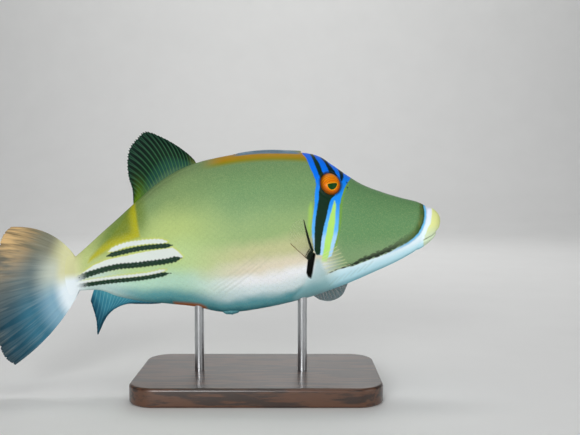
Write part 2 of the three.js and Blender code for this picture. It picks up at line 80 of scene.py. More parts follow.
KEEL_FULLNESS = [
    (TAIL_END, 2.2), (-80, 1.9), (-55, 1.55), (-20, 1.35), (30, 1.35), (60, 1.6), (85, 2), (LIP_TIP, 2.2),
]
HEIGHT_FULLNESS = 2.2
TIP_ROUNDING_START, TIP_ROUNDING_POWER = 92.0, 2.4
SWAY_START, SWAY_RATE = -30.0, 0.0012

# Driving values: skin mesh
FLANK_STEP, FACE_STEP = 0.55, 0.42
FACE_START, SNOUT_START = 18.0, 86.0
SNOUT_STEPS = 40
SLEEVE_REACH, SLEEVE_STEPS = 0.2, 20
HALF_AROUND, ARC_SAMPLES = 200, 721
BACK_CROWDING, BACK_CROWDING_REACH = 1.8, 4

# Driving values: head
EYE_PLACE = (42.4, 28.5)
EYE_HALF = (5.9, 6.5)
EYE_DEPTH, EYE_SINK, EYE_REACH, IRIS_FOLDS = 4.6, 2.0, 9, 5.2
NOSTRILS = [(51.4, 28.0), (51.2, 25.4)]
LIP_EDGE_X, LIP_SLANT, LIP_SWELL, LIP_BLEND = 91.7, 0.38, 0.75, 1.6
MOUTH_LINE = [(88.7, -7.6), (93.3, -6.0), (97.5, -3.4), (102.0, -1.0)]

# Driving values: fins
SOFT_DORSAL = {
    "front": -27.0, "rear": -63.4, "bow": 2.4, "wave": 2.6, "side": 1,
    "margin": [(-28.4, 49.8), (-32.6, 54.6), (-38.2, 59.7), (-45, 64.6), (-52.3, 68.2), (-57.2, 65),
               (-61.6, 60.2), (-63.8, 53), (-64.3, 45), (-63.4, 38.4), (-63.8, 32.6)],
}
ANAL_FIN = {
    "front": -55.0, "rear": -89.6, "bow": 1.0, "wave": 2.4, "side": -1,
    "margin": [(-56.4, -25), (-62, -24.7), (-68.5, -23.8), (-75, -22.8), (-81, -24), (-85.8, -27.2),
               (-88.8, -31.6), (-91.2, -36.9), (-91.3, -29), (-93.1, -18.6)],
}
FIN_ROOT_SINK = 1.5
CAUDAL_MARGIN = [(-126.6, 26.4), (-131.6, 22), (-137.8, 9.2), (-141.4, -7.6), (-142, -26), (-139.2, -40),
                 (-134, -46)]
CAUDAL_UPPER_BOW, CAUDAL_LOWER_BOW, CAUDAL_WAVE = 5.0, 3.2, 2.2
CAUDAL_ROOT_LENGTH = 0.26
PECTORAL_ROOT_TOP, PECTORAL_ROOT_BOTTOM = (28.6, -4.0), (24.9, -8.6)
# Points of the margin from the root, for the right side, -1, and the left, 1
PECTORAL_REACH = {
    -1: [(-2.7, -24.9, 17.1), (-5.2, -24.6, 18), (-7, -23, 16.4), (-7.6, -20, 12.6), (-6.9, -17, 9.6)],
    1: [(18.9, 10, -26), (16, 11.4, -32), (10.4, 11.8, -33.4), (5, 10, -30.6), (1.6, 8, -26)],
}
WEB_HALF, RAY_HALF, MARGIN_HALF = 0.16, 0.42, 0.12
FIN_ROWS, RAY_JOINTS = 90, 46
PECTORAL_RAYS = {"rays": 13, "forks": [0.5], "root_length": 0.25, "start": -0.06}
FIN_RAYS = {
    "soft_dorsal": {"rays": 24, "forks": [0.55], "root_length": 0.3, "fray": 0.03},
    "anal": {"rays": 21, "forks": [0.6], "root_length": 0.3, "fray": 0.012},
    "tail_fin": {"rays": 12, "forks": [0.16, 0.4, 0.66], "root_length": CAUDAL_ROOT_LENGTH,
                 "ray_columns": 32, "fray": 0.015, "rise": 0.55},
    "near_pectoral": PECTORAL_RAYS, "far_pectoral": PECTORAL_RAYS,
}

# Driving values: folded first dorsal fin, pelvic knob, thorns and stand
FIRST_DORSAL = {"front": 29.5, "rear": -6.0, "half": 1.15, "rise": 1.0, "depth": 2.4}
GROOVE_SIDE, GROOVE_END, GROOVE_DEPTH = 0.7, 1.2, 2.6
PELVIC_KNOB = {"x": -18.5, "length": 10.0, "width": 4.4, "height": 4.6, "drop": 1.2}
THORN_ROWS = [
    {"start": (-44, 6.6), "end": (-80, 4.6), "rise": 1.0, "count": 13},
    {"start": (-40, -0.7), "end": (-96, -4.9), "rise": 1.1, "count": 22},
    {"start": (-47, -8.2), "end": (-94, -9.3), "rise": -0.3, "count": 18},
]
THORN_LENGTH, THORN_WIDTH, THORN_HEIGHT, THORN_SINK = 1.5, 0.8, 0.5, 0.3
STAND_BASE = {"length": 130.0, "width": 80.0, "height": 10.0, "corner": 14.0, "bevel": 1.6}
ROD_RADIUS, ROD_CHAMFER = 2.5, 0.3

# Markings and painted shade on the near flank, as pixels of the 580 by 435 photograph
BLUE_FIELD = [
    (301.5, 147), (302, 153.8), (305.3, 156.8), (307.8, 161.8), (310.3, 167.9), (313.1, 174.3),
    (315.3, 179.6), (316.4, 184.3), (315.6, 188), (314.9, 193), (314.6, 205), (312.9, 217), (311.9, 226),
    (312, 236), (313, 244), (314.3, 250.5), (316.5, 254.5), (320, 255), (323.8, 256), (327.5, 258),
    (331.5, 256), (334.7, 244.4), (336.5, 238.3), (338.3, 229.2), (338.9, 217), (339.6, 205),
    (341.4, 197.5), (343.1, 192.1), (344.2, 188.6), (346, 185), (348.9, 180.7), (351, 177.1),
    (350, 171), (344, 166), (336, 160), (325, 152), (315, 147), (308, 145),
]
DARK_BAND = [
    (308, 148), (310.3, 154.5), (312.4, 158.2), (313.9, 161.8), (316, 167.1), (317.8, 171.4),
    (319.6, 176.1), (320.6, 179.6), (320.3, 186), (319, 192.9), (319.2, 198), (317.9, 205), (316.1, 217),
    (315.2, 226), (314.8, 234), (314.8, 243), (314.6, 250.5), (316.5, 254.6), (319.8, 254.7),
    (320.4, 249.8), (321, 241.4), (322.5, 232.3), (324.6, 223.2), (326.2, 217), (328.7, 205),
    (329.9, 201.8), (331.4, 198.2), (334.6, 195.4), (331, 184), (325, 178), (322.8, 174.3),
    (321, 168.9), (319.6, 165), (317.4, 161.1), (315.3, 158.2), (312.8, 154.5), (311, 148),
]
SECOND_BAR = [
    (317, 149), (319.5, 155.5), (320.6, 157.5), (323.5, 160.4), (326, 164.3), (327.8, 167.9),
    (329.2, 172.1), (331, 180), (336.5, 176), (334.2, 171.1), (331.7, 167.9), (329.2, 165),
    (326.7, 161.8), (324.2, 158.6), (322.5, 156), (320, 149),
]
THIRD_BAR = [
    (335, 162), (337.5, 167.5), (339.9, 172.9), (340.3, 175.7), (340.6, 181), (341.9, 180.6),
    (343.1, 177.1), (342.8, 172), (341, 168.5), (339, 162),
]
YELLOW_WEDGE = [
    (334.6, 200.5), (333.1, 205), (331.6, 211), (328.3, 223.2), (326.2, 235.3), (325, 241.4),
    (323.8, 250), (321.6, 261.5), (326.6, 262), (330.3, 247.4), (331.3, 241.4), (333, 235.3),
    (334.8, 223.2), (335.4, 211), (335.8, 205),
]
SNOUT_STREAK = [
    (422.3, 203), (423.6, 207.6), (424.4, 211.6), (424.3, 216.6), (423.3, 222.5), (421, 228),
    (418, 233.5), (413.3, 238), (407.4, 242.6), (398.5, 247.2), (387, 253.2), (377, 257.1),
    (365.6, 261), (355, 265.4), (345, 267.6), (337.2, 270), (327.3, 274.4), (326.9, 273.4),
    (336.8, 268.8), (343, 266), (353.3, 262), (358, 259.4), (364, 256.4), (371.7, 253.4), (381, 249.2),
    (390.8, 245), (395.6, 241.2), (403.9, 236.2), (410.6, 231.6), (414.7, 227.4), (416.3, 223.2),
    (417.6, 218.6), (419.6, 213.3), (421, 206.6), (420.6, 203),
]
# The jaw's white starts along the lower edge of the streak
WHITE_JAW = [
    (422.6, 200), *[(u + 0.2, v) for u, v in SNOUT_STREAK[1:17]], (316, 280), (311, 284), (311, 330),
    (400, 330), (460, 280), (460, 190),
]
LIPS = [
    (432, 198), (431.3, 206), (430.9, 209.3), (430.6, 219.9), (429.9, 223.9), (427.6, 227.5),
    (426.3, 231.5), (424.9, 234.8), (423.6, 238.6), (422.9, 242.6), (424.5, 250), (470, 250), (470, 198),
]
GILL_SLIT = [
    (309.4, 253.6), (308.4, 262.6), (307.2, 273), (308.8, 277.2), (311, 278.6), (312.1, 273.5),
    (313.7, 262.6), (315, 254.2), (312, 252.6),
]
GIRDLE_FOLD = [(311, 277), (306.6, 280.4), (303, 287), (298, 292.6), (294, 297)]
THROAT_SHADE = [
    *GIRDLE_FOLD, (294, 306), (324, 300), (330, 288), (325, 271), (320, 259), (315.5, 259), (313.5, 270),
]
YELLOW_PATCH = [
    (134.6, 200), (136, 212), (137.6, 224), (140, 237), (128, 241.4), (112, 247.4), (99, 255.6),
    (88, 263), (90, 257.6), (99, 248), (110, 237.4), (120, 225), (128, 212),
]
YELLOW_EDGE = [
    (135, 201), (136.4, 214), (137.4, 228), (135.6, 236.6), (126, 242.4), (112, 247.6), (100, 254.4),
    (90, 261.6),
]
VENT = [(174, 302), (182, 302.4), (192, 303), (201, 304), (206, 306.6), (208, 311), (192, 311), (174, 308)]
WHITE_BAND = [
    (73, 279.2), (80, 274.6), (93.2, 265.4), (106, 260), (118, 257.4), (143, 252.2), (160, 249.4),
    (172.8, 247.6), (178, 251.4), (183, 256.6), (179.6, 259), (167, 261.2), (153.8, 263), (135.9, 265.4),
    (118, 266.8), (100.2, 270.6), (82.3, 276.8), (74, 281.4),
]
YELLOW_LINE = [
    (349.4, 182), (345, 189.5), (342.8, 196.4), (341.3, 205), (340.6, 217), (340.1, 223), (338.1, 235),
    (336.1, 244.4), (334, 252),
]
GREEN_STRIP = [(311, 203), (310.4, 215), (309.6, 226), (309.8, 236)]

# Lines of the tail stalk: half width in millimetres and pixels
WHITE_STROKES = [
    (1.2, [(108.6, 251.6), (118, 247.6), (126, 244.8), (138, 242.8), (151, 241.4), (167.5, 241.6)]),
    (0.8, [(74, 285), (86, 281.6), (100, 279.6), (118, 277.4), (136, 275.4), (150, 273.6), (166, 269.8)]),
]
BLACK_STROKES = [
    (1.25, [(107, 256), (122.5, 252.1), (140.4, 248.3), (158.2, 246.4), (172, 245.2)]),
    (1.45, [(71.5, 282), (82.3, 276.6), (100.2, 270.6), (118, 266.6), (135.9, 265.1), (153.8, 262.9),
            (167.1, 261.1), (181, 257.8)]),
    (1.1, [(75.5, 286.5), (95.7, 283.4), (113.6, 281.2), (131.4, 279.4), (149.3, 277.1), (169, 273.2)]),
]
SCALLOP_LENGTH, SCALLOP_SHARE = 2.1, 0.16

# Pleats stand up from the skin, and creases are cut into it
CHEEK_PLEATS = [
    [(320.4, 255.8), (328, 251.5), (337, 246.5)],
    [(321, 258.2), (329, 254.4), (339, 249.5)],
    [(321.5, 260.4), (330, 257.2), (341, 253)],
    [(322, 262.8), (331, 260.2), (343, 256.6)],
    [(323, 265.4), (333, 262.8), (345, 259.6)],
    [(325, 268.8), (335, 265.4), (347, 262.2)],
    [(328, 272.4), (338, 268), (350, 264.4)],
]
JAW_CREASES = [[(330 + 7 * i, 285.5 - 3.2 * i), (338 + 7 * i, 277.5 - 3.2 * i)] for i in range(6)]
BELLY_CREASES = [
    [(262, 251), (249, 262), (232, 274), (212, 288)],
    [(266, 251.6), (253, 263), (236, 276), (214, 290.6)],
    [(270, 252.4), (258, 263.6), (241, 277.4), (219, 292.4)],
    [(271, 256), (261, 266), (246, 278.6), (226, 293)],
]
CREASE_WIDTH = 0.4

# Fields of the skin, each the distance to its closed outlines and strokes, negative inside them
HAIRLINE = 0.01
OUTLINES = {
    "blue": [BLUE_FIELD], "dark": [DARK_BAND], "bars": [SECOND_BAR, THIRD_BAR], "wedge": [YELLOW_WEDGE],
    "streak": [SNOUT_STREAK], "jaw": [WHITE_JAW], "lips": [LIPS], "slit": [GILL_SLIT], "vent": [VENT],
    "throat": [THROAT_SHADE], "patch": [YELLOW_PATCH], "white": [WHITE_BAND],
}
STROKES = {
    "white": WHITE_STROKES, "black": BLACK_STROKES, "strip": [(1.0, GREEN_STRIP)],
    "thread": [(0.5, YELLOW_LINE)], "girdle": [(HAIRLINE, GIRDLE_FOLD)], "yellow": [(HAIRLINE, YELLOW_EDGE)],
}
SCALLOPED = ("white", "black")

# Ridges and furrows that follow a field: its name, the place on it, the height and the width
FIELD_RELIEF = [
    ("eye", 1.03, 0.5, 0.075), ("eye", 1.4, 0.07, 0.1), ("eye", 1.24, -0.05, 0.06),
    ("nostril", 0.9, 0.12, 0.3), ("nostril", 0, -0.8, 0.42), ("girdle", 0, -0.3, 1.2),
]
EYE_SOCKET_DEPTH, GILL_SLIT_DEPTH = 3.6, 2.4
PLEAT_HEIGHT, CREASE_DEPTH, PLATE_DEPTH = 0.24, 0.22, 0.032
PLATE_PERIOD, PLATE_DIAGONAL, PLATE_EDGE = 2.9, 0.78, 0.13


# Small helpers

def lerp(low, high, share):
    return low + (high - low) * share


def smoothstep(low, high, value):
    share = np.clip((value - low) / (high - low), 0, 1)
    return share * share * (3 - 2 * share)


def bump_at(distance, width):
    """1 at a distance of 0, falling smoothly to 0 over about two widths"""
    return np.exp(-((distance / width) ** 2))


def curve_at(points, share):
    """Smooth curve through points, read at shares from 0 to 1 of its parameter"""
    points = np.array(points, float)
    last = len(points) - 1
    place = np.clip(share, 0, 1) * last
    first = np.minimum(place.astype(int), last - 1)
    weight = (place - first)[..., None]
    before, start = points[np.maximum(first - 1, 0)], points[first]
    end, after = points[first + 1], points[np.minimum(first + 2, last)]
    leaving, arriving = (end - before) / 2, (after - start) / 2
    cubic = (2 * start - 2 * end + leaving + arriving) * weight**3
    square = (3 * end - 3 * start - 2 * leaving - arriving) * weight**2
    return cubic + square + leaving * weight + start


def curve_samples(points, steps=30):
    return curve_at(points, np.linspace(0, 1, steps * len(points) + 1))


def smooth_line(points):
    """Smooth line through (x, value) points, as a function of x"""
    samples = curve_samples(points)
    return lambda x: np.interp(x, samples[:, 0], samples[:, 1])


# Form of the body

outline_samples = curve_samples(OUTLINE)
tip_index = int(np.argmax(outline_samples[:, 0]))
back_samples = outline_samples[: tip_index + 1]
belly_samples = outline_samples[tip_index:][::-1]
half_width_line = smooth_line(HALF_WIDTHS)
widest_line = smooth_line(WIDEST_HEIGHTS)
back_fullness_line = smooth_line(BACK_FULLNESS)
keel_fullness_line = smooth_line(KEEL_FULLNESS)


def back_line(x):
    return np.interp(x, back_samples[:, 0], back_samples[:, 1])


def belly_line(x):
    return np.interp(x, belly_samples[:, 0], belly_samples[:, 1])


def sway(x):
    """Sideways bend of the rear body and tail fin, towards the right flank"""
    return -SWAY_RATE * np.minimum(np.asarray(x, float) - SWAY_START, 0) ** 2


def half_width(x):
    share = np.clip((x - TIP_ROUNDING_START) / (LIP_TIP - TIP_ROUNDING_START), 0, 1)
    return half_width_line(x) * np.sqrt(1 - share**TIP_ROUNDING_POWER)


def half_width_at(x, z):
    """Half width of the body at a height of its section"""
    middle = widest_line(x)
    upper = z > middle
    reach = np.where(upper, back_line(x), belly_line(x)) - middle
    share = np.clip((z - middle) / reach, 0, 1)
    fullness = np.where(upper, back_fullness_line(x), keel_fullness_line(x))
    return half_width(x) * (1 - share**HEIGHT_FULLNESS) ** (1 / fullness)


def flank_point(x, z, side):
    return np.array([x, side * float(half_width_at(x, z)) + float(sway(x)), z])


def flank_frame(x, z, side):
    """Place on a flank with its axes: along the body, up the flank and outwards"""
    step = 0.5
    along = flank_point(x + step, z, side) - flank_point(x - step, z, side)
    upward = flank_point(x, z + step, side) - flank_point(x, z - step, side)
    outward = np.cross(along, upward)
    outward *= side * np.sign(outward[1]) / np.linalg.norm(outward)
    along -= outward * (along @ outward)
    along /= np.linalg.norm(along)
    upward -= outward * (upward @ outward) + along * (upward @ along)
    upward /= np.linalg.norm(upward)
    return flank_point(x, z, side), along, upward, outward


# Between the fish's frame, the room and the photograph

def into_room(points):
    """Fish millimetres to room metres"""
    x, y, z = np.moveaxis(np.asarray(points, float), -1, 0)
    c, s = math.cos(PITCH), math.sin(PITCH)
    return np.stack((x * c - z * s, y, x * s + z * c + AXIS_HEIGHT), -1) * MM


def into_fish(points):
    """Room millimetres to fish millimetres"""
    x, y, z = np.moveaxis(np.asarray(points, float), -1, 0)
    c, s = math.cos(PITCH), math.sin(PITCH)
    z = z - AXIS_HEIGHT
    return np.stack((x * c + z * s, y, -x * s + z * c), -1)


VIEW_FORWARD = np.array([0, math.cos(CAMERA_ELEVATION), -math.sin(CAMERA_ELEVATION)])
VIEW_UP = np.array([0, math.sin(CAMERA_ELEVATION), math.cos(CAMERA_ELEVATION)])
VIEW_RIGHT = np.array([1.0, 0, 0])
CAMERA_PLACE = CAMERA_AIM - CAMERA_DISTANCE * VIEW_FORWARD
PIXELS_PER_TANGENT = LENS / SENSOR * PHOTO_WIDTH
FLANK_GUESS, FLANK_TRIES = -8.0, 40


def on_near_flank(pixels):
    """Fish x and z of photograph pixels, by closing in on the flank that faces the camera"""
    u, v = np.array(pixels, float).T
    right = (u - PHOTO_WIDTH / 2) / PIXELS_PER_TANGENT
    up = (PHOTO_HEIGHT / 2 - v) / PIXELS_PER_TANGENT
    rays = VIEW_FORWARD + right[:, None] * VIEW_RIGHT + up[:, None] * VIEW_UP
    y = np.full(len(u), FLANK_GUESS)
    for _ in range(FLANK_TRIES):
        reach = (y - CAMERA_PLACE[1]) / rays[:, 1]
        place = into_fish(CAMERA_PLACE + reach[:, None] * rays)
        y = lerp(y, sway(place[:, 0]) - half_width_at(place[:, 0], place[:, 2]), 0.4)
    return place[:, [0, 2]]


# Distances to markings, in millimetres across the flank

FAR = 8.0


def nearby(points, line, margin=FAR):
    low, high = line.min(0) - margin, line.max(0) + margin
    return np.all((points > low) & (points < high), axis=-1)


def segment_distance(points, start, end):
    step = end - start
    share = np.clip((points - start) @ step / max(step @ step, 1e-9), 0, 1)
    return np.linalg.norm(points - start - share[..., None] * step, axis=-1), share


def polygon_distance(points, corners):
    """Distance to a closed polygon, negative inside it"""
    best = np.full(points.shape[:-1], FAR)
    inside = np.zeros(points.shape[:-1], bool)
    for start, end in zip(corners, np.roll(corners, -1, axis=0)):
        best = np.minimum(best, segment_distance(points, start, end)[0])
        rise = end[1] - start[1]
        if abs(rise) > 1e-9:
            crossing = start[0] + (end[0] - start[0]) * (points[..., 1] - start[1]) / rise
            spans = (start[1] > points[..., 1]) != (end[1] > points[..., 1])
            inside ^= spans & (points[..., 0] < crossing)
    return np.where(inside, -best, best)


def outline_distance(points, pixels):
    """Distance to a closed outline of photograph pixels, as in polygon_distance"""
    corners = on_near_flank(pixels)
    result = np.full(points.shape[:-1], FAR)
    chosen = nearby(points, corners)
    result[chosen] = polygon_distance(points[chosen], corners)
    return result


def stroke_distance(points, pixels, half, scallop=0.0):
    """Distance to the edge of a stroke that tapers at both ends, negative inside it"""
    line = curve_samples(on_near_flank(pixels), 6)
    result = np.full(points.shape[:-1], FAR)
    chosen = nearby(points, line)
    near = points[chosen]
    lengths = np.linalg.norm(np.diff(line, axis=0), axis=1)
    travelled = np.concatenate(([0], np.cumsum(lengths)))
    best, place = np.full(len(near), FAR), np.zeros(len(near))
    for index in range(len(line) - 1):
        distance, share = segment_distance(near, line[index], line[index + 1])
        closer = distance < best
        best[closer] = distance[closer]
        place[closer] = travelled[index] + share[closer] * lengths[index]
    from_end = np.minimum(place, travelled[-1] - place)
    width = half * smoothstep(-1.2, 3.5, from_end)
    width = width * (1 + scallop * np.sin(2 * np.pi * place / SCALLOP_LENGTH))
    result[chosen] = best - width
    return result


def least(*fields):
    return np.minimum.reduce(fields)


def marking_fields(points):
    forms = {name: [outline_distance(points, outline) for outline in outlines]
             for name, outlines in OUTLINES.items()}
    for name, strokes in STROKES.items():
        scallop = SCALLOP_SHARE if name in SCALLOPED else 0.0
        edges = [stroke_distance(points, line, half, scallop) for half, line in strokes]
        forms[name] = forms.get(name, []) + edges
    return {name: least(*distances) for name, distances in forms.items()}


# Meshes

def mesh_object(name, points, faces, fields=None):
    """Smooth object from room points and arrays of triangles and quads, with float fields"""
    volume_faces = [f[:, [0, 1, 2]] for f in faces] + [f[:, [0, 2, 3]] for f in faces if f.shape[1] == 4]
    corners = points[np.concatenate(volume_faces)]
    volume = np.einsum("ij,ij->", corners[:, 0], np.cross(corners[:, 1], corners[:, 2]))
    if volume < 0:
        faces = [f[:, ::-1] for f in faces]
    loops = np.concatenate([f.ravel() for f in faces]).astype(np.int32)
    sizes = np.concatenate([np.full(len(f), f.shape[1]) for f in faces])
    starts = np.concatenate(([0], np.cumsum(sizes)[:-1])).astype(np.int32)
    mesh = bpy.data.meshes.new(name)
    mesh.vertices.add(len(points))
    mesh.vertices.foreach_set("co", points.astype(np.float32).ravel())
    mesh.loops.add(len(loops))
    mesh.loops.foreach_set("vertex_index", loops)
    mesh.polygons.add(len(starts))
    mesh.polygons.foreach_set("loop_start", starts)
    mesh.update(calc_edges=True)
    mesh.validate()
    mesh.shade_smooth()
    for field, values in (fields or {}).items():
        attribute = mesh.attributes.new(field, "FLOAT", "POINT")
        attribute.data.foreach_set("value", np.asarray(values, np.float32).ravel())
    obj = bpy.data.objects.new(name, mesh)
    bpy.context.scene.collection.objects.link(obj)
    return obj


def grid_quads(rows, columns, wrapped=False, offset=0):
    """Quads of a grid whose points are stored row by row"""
    row = np.arange(rows - 1)[:, None]
    column = np.arange(columns if wrapped else columns - 1)[None, :]
    following = (column + 1) % columns
    corners = (row * columns + column, row * columns + following,
               (row + 1) * columns + following, (row + 1) * columns + column)
    return np.stack([np.broadcast_to(c, (rows - 1, column.size)).ravel() for c in corners], 1) + offset


def closed_form(name, rings, ends=None, fields=None):
    """Closed object from rings of room points, with a point to close each end, or flat without them"""
    rows, columns = rings.shape[:2]
    points = rings.reshape(-1, 3)
    ring = np.arange(columns)
    last = (rows - 1) * columns
    if ends is None:
        caps = [fan_of(ring[::-1]), fan_of(ring + last)]
    else:
        following = (ring + 1) % columns
        first_end = np.full(columns, rows * columns)
        caps = [np.stack((first_end, following, ring), 1),
                np.stack((first_end + 1, last + ring, last + following), 1)]
        points = np.concatenate((points, ends))
    values = {key: np.append(value.ravel(), (value[0].mean(), value[-1].mean()))
              for key, value in (fields or {}).items()}
    return mesh_object(name, points, [grid_quads(rows, columns, wrapped=True), *caps], values)


def fan_of(loop):
    """Triangles that close a flat convex loop"""
    return np.stack((np.full(len(loop) - 2, loop[0]), loop[1:-1], loop[2:]), 1)


def round_angles(rings, spokes):
    """Tilt from a pole and turn round it, for a closed round form"""
    tilt = np.linspace(0, math.pi, rings + 1)[1:-1, None]
    return tilt, np.linspace(0, 2 * math.pi, spokes, endpoint=False)[None, :]


def dress(obj, material, slot, *nodes):
    """Give a piece its material and its body, and hide the solids that it stands for. The slot is not used
    """
    obj.data.materials.append(material)
    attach(obj, "root")
    if nodes:
        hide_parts(*nodes)


# Node materials

def tint(red, green, blue):
    """Screen colour from 0 to 255 as a linear colour"""
    shares = np.array([red, green, blue]) / 255
    linear = np.where(shares <= 0.04045, shares / 12.92, ((shares + 0.055) / 1.055) ** 2.4)
    return (*linear.tolist(), 1.0)


class Paint:
    """One node material, with short ways to add its nodes. A string stands for the mesh field of that name,
    and three numbers from 0 to 255 for a screen colour. Colours are laid one over another."""

    def __init__(self, name, **settings):
        self.material = bpy.data.materials.new(name)
        self.material.use_nodes = True
        self.tree = self.material.node_tree
        self.shader = self.tree.nodes["Principled BSDF"]
        for socket, value in settings.items():
            self.shader.inputs[socket.replace("_", " ")].default_value = value
        self.place = self.tree.nodes.new("ShaderNodeTexCoord").outputs["Object"]
        self.colour = None

    def feed(self, socket, value):
        if isinstance(value, str):
            value = self.add("Attribute", {}, "Fac", attribute_name=value)
        if isinstance(value, bpy.types.NodeSocket):
            self.tree.links.new(value, socket)
        else:
            socket.default_value = tint(*value) if socket.type == "RGBA" else value

    def add(self, kind, inputs, output=0, **settings):
        """Add a node with its settings and inputs, and give back one output"""
        node = self.tree.nodes.new("ShaderNode" + kind)
        for setting, value in settings.items():
            setattr(node, setting, value)
        for socket, value in inputs.items():
            self.feed(node.inputs[socket], value)
        return node.outputs[output]

    def math(self, operation, *values):
        return self.add("Math", dict(enumerate(values)), operation=operation)

    def scaled(self, value, factor, shift=0.0):
        return self.math("MULTIPLY_ADD", value, factor, shift)

    def both(self, mask, *others):
        for other in others:
            mask = self.math("MULTIPLY", mask, other)
        return mask

    def either(self, mask, *others):
        for other in others:
            mask = self.math("MAXIMUM", mask, other)
        return mask

    def noise(self, size, detail=3.0, roughness=0.55, stretch=(1, 1, 1)):
        """Noise whose lumps are about size millimetres, longer along an axis with a small stretch"""
        place = self.add("Mapping", {"Vector": self.place, "Scale": stretch})
        inputs = {"Vector": place, "Scale": 1 / (size * MM), "Detail": detail, "Roughness": roughness}
        return self.add("TexNoise", inputs, "Fac")

    def cells(self, size):
        """Distance inside small rounded cells about size millimetres across"""
        inputs = {"Vector": self.place, "Scale": 1 / (size * MM), "Smoothness": 0.4}
        return self.add("TexVoronoi", inputs, "Distance", feature="SMOOTH_F1")

    def streaks(self, count):
        """Noise drawn out along the rays of a fin, with about count streaks across it"""
        place = self.add("CombineXYZ", {0: self.scaled("u", count), 1: self.scaled("v", 2.5)})
        return self.add("TexNoise", {"Vector": place, "Scale": 1.0, "Detail": 3.0}, "Fac")

    def step(self, value, low, high):
        """0 at low and 1 at high, smooth between them and level beyond"""
        limits = (low, high, 0.0, 1.0) if low < high else (high, low, 1.0, 0.0)
        inputs = dict(zip(("From Min", "From Max", "To Min", "To Max"), limits))
        return self.add("MapRange", {"Value": value, **inputs}, "Result", interpolation_type="SMOOTHSTEP")

    def where(self, **limits):
        """Product of a step for each named field"""
        return self.both(*[self.step(name, *pair) for name, pair in limits.items()])

    def inside(self, name, soft, grow=0.0, wobble=None):
        """1 inside a marking, from its distance field, with an edge soft millimetres wide"""
        distance = name if wobble is None else self.math("ADD", name, wobble)
        return self.step(distance, grow + soft, grow - soft)

    def rays(self, strength):
        return self.scaled(self.step("ray", 0.1, 0.95), strength)

    def mix(self, share, under, over):
        return self.add("Mix", {"Factor": share, 6: under, 7: over}, 2, data_type="RGBA")

    def lay(self, mask, over, strength=1.0):
        """Lay a colour over the one so far, where a mask is 1"""
        self.colour = self.mix(self.scaled(mask, strength), self.colour, over)

    def ramp(self, value, *stops):
        """Colour ramp from stops of a place and a colour"""
        node = self.tree.nodes.new("ShaderNodeValToRGB")
        node.color_ramp.interpolation = "EASE"
        elements = node.color_ramp.elements
        while len(elements) < len(stops):
            elements.new(0.5)
        for element, (place, *colour) in zip(elements, stops):
            element.position = place
            element.color = tint(*colour)
        self.feed(node.inputs["Fac"], value)
        return node.outputs["Color"]

    def bump(self, height, distance, strength, under=None):
        inputs = {"Strength": strength, "Distance": distance * MM, "Height": height}
        if under is not None:
            inputs["Normal"] = under
        return self.add("Bump", inputs, "Normal")

    def finish(self, roughness, normal=None, alpha=None):
        inputs = {"Base Color": self.colour, "Roughness": roughness, "Normal": normal, "Alpha": alpha}
        for name, value in inputs.items():
            if value is not None:
                self.feed(self.shader.inputs[name], value)
        return self.material


# Skin: stations along the body, half rings round it, and the relief on them

def skin_stations():
    flank = np.arange(TAIL_END, FACE_START, FLANK_STEP)
    face = np.arange(FACE_START, SNOUT_START, FACE_STEP)
    turn = np.linspace(0, math.pi / 2, SNOUT_STEPS + 1)
    snout = SNOUT_START + (LIP_TIP - SNOUT_START) * np.sin(turn)
    return np.concatenate((flank, face, snout[:-1]))


def half_rings(stations):
    """Left half of each ring from belly to back: y, z and the length along the skin from its widest"""
    angle = np.linspace(-math.pi / 2, math.pi / 2, ARC_SAMPLES)
    across, upward = np.cos(angle), np.sin(angle)
    rows = []
    for x in stations:
        top, bottom, middle = back_line(x), belly_line(x), widest_line(x)
        fullness = np.where(upward > 0, back_fullness_line(x), keel_fullness_line(x))
        reach = np.where(upward > 0, top - middle, middle - bottom)
        z = middle + np.sign(upward) * reach * np.abs(upward) ** (2 / HEIGHT_FULLNESS)
        y = half_width(x) * np.maximum(across, 0) ** (2 / fullness)
        length = np.concatenate(([0], np.cumsum(np.hypot(np.diff(y), np.diff(z)))))
        from_top = length[-1] - length
        density = 1 + BACK_CROWDING * bump_at(from_top, BACK_CROWDING_REACH)
        spread = np.concatenate(([0], np.cumsum(np.diff(length) * (density[1:] + density[:-1]) / 2)))
        wanted = np.linspace(0, spread[-1], HALF_AROUND + 1)
        widest = np.interp(0, angle, length)
        rows.append([np.interp(wanted, spread, values) for values in (y, z, length - widest)])
    return np.moveaxis(np.array(rows), 1, 0)


def both_sides(half):
    """Whole rings from half rings: up the left side and down the right"""
    return np.concatenate((half, half[:, -2:0:-1]), axis=1)


def groove_half(x):
    """Half width of the groove that the folded first dorsal fin lies in"""
    front, rear = FIRST_DORSAL["front"] + GROOVE_END, FIRST_DORSAL["rear"] - GROOVE_END
    share = np.clip((x - rear) / (front - rear), 0, 1)
    fullness = np.sin(np.pi * np.clip(np.minimum(share * 1.1, 1 - (share - 0.45) * 0.55), 0, 1))
    half = FIRST_DORSAL["half"] + GROOVE_SIDE
    return np.where((x > rear) & (x < front), half * np.sqrt(np.maximum(fullness, 0)), 0)


def crease_depth(points, lines, width):
    """Depth from 0 to 1 of fine creases along lines of pixels"""
    depth = np.zeros(points.shape[:-1])
    for line in lines:
        distance = stroke_distance(points, line, 0.01)
        depth = np.maximum(depth, bump_at(np.maximum(distance, 0), width))
    return depth


def line_distance(points, line):
    return least(*[segment_distance(points, np.array(a, float), np.array(b, float))[0]
                   for a, b in zip(line, line[1:])])


def eye_coordinates(points):
    """Place of left-side points relative to the eye: share of its radius, and height off the skin"""
    centre, along, upward, outward = flank_frame(*EYE_PLACE, 1)
    offset = points - centre
    share = np.hypot(offset @ along / EYE_HALF[0], offset @ upward / EYE_HALF[1])
    return np.where(np.abs(offset @ outward) < EYE_REACH, share, EYE_REACH)


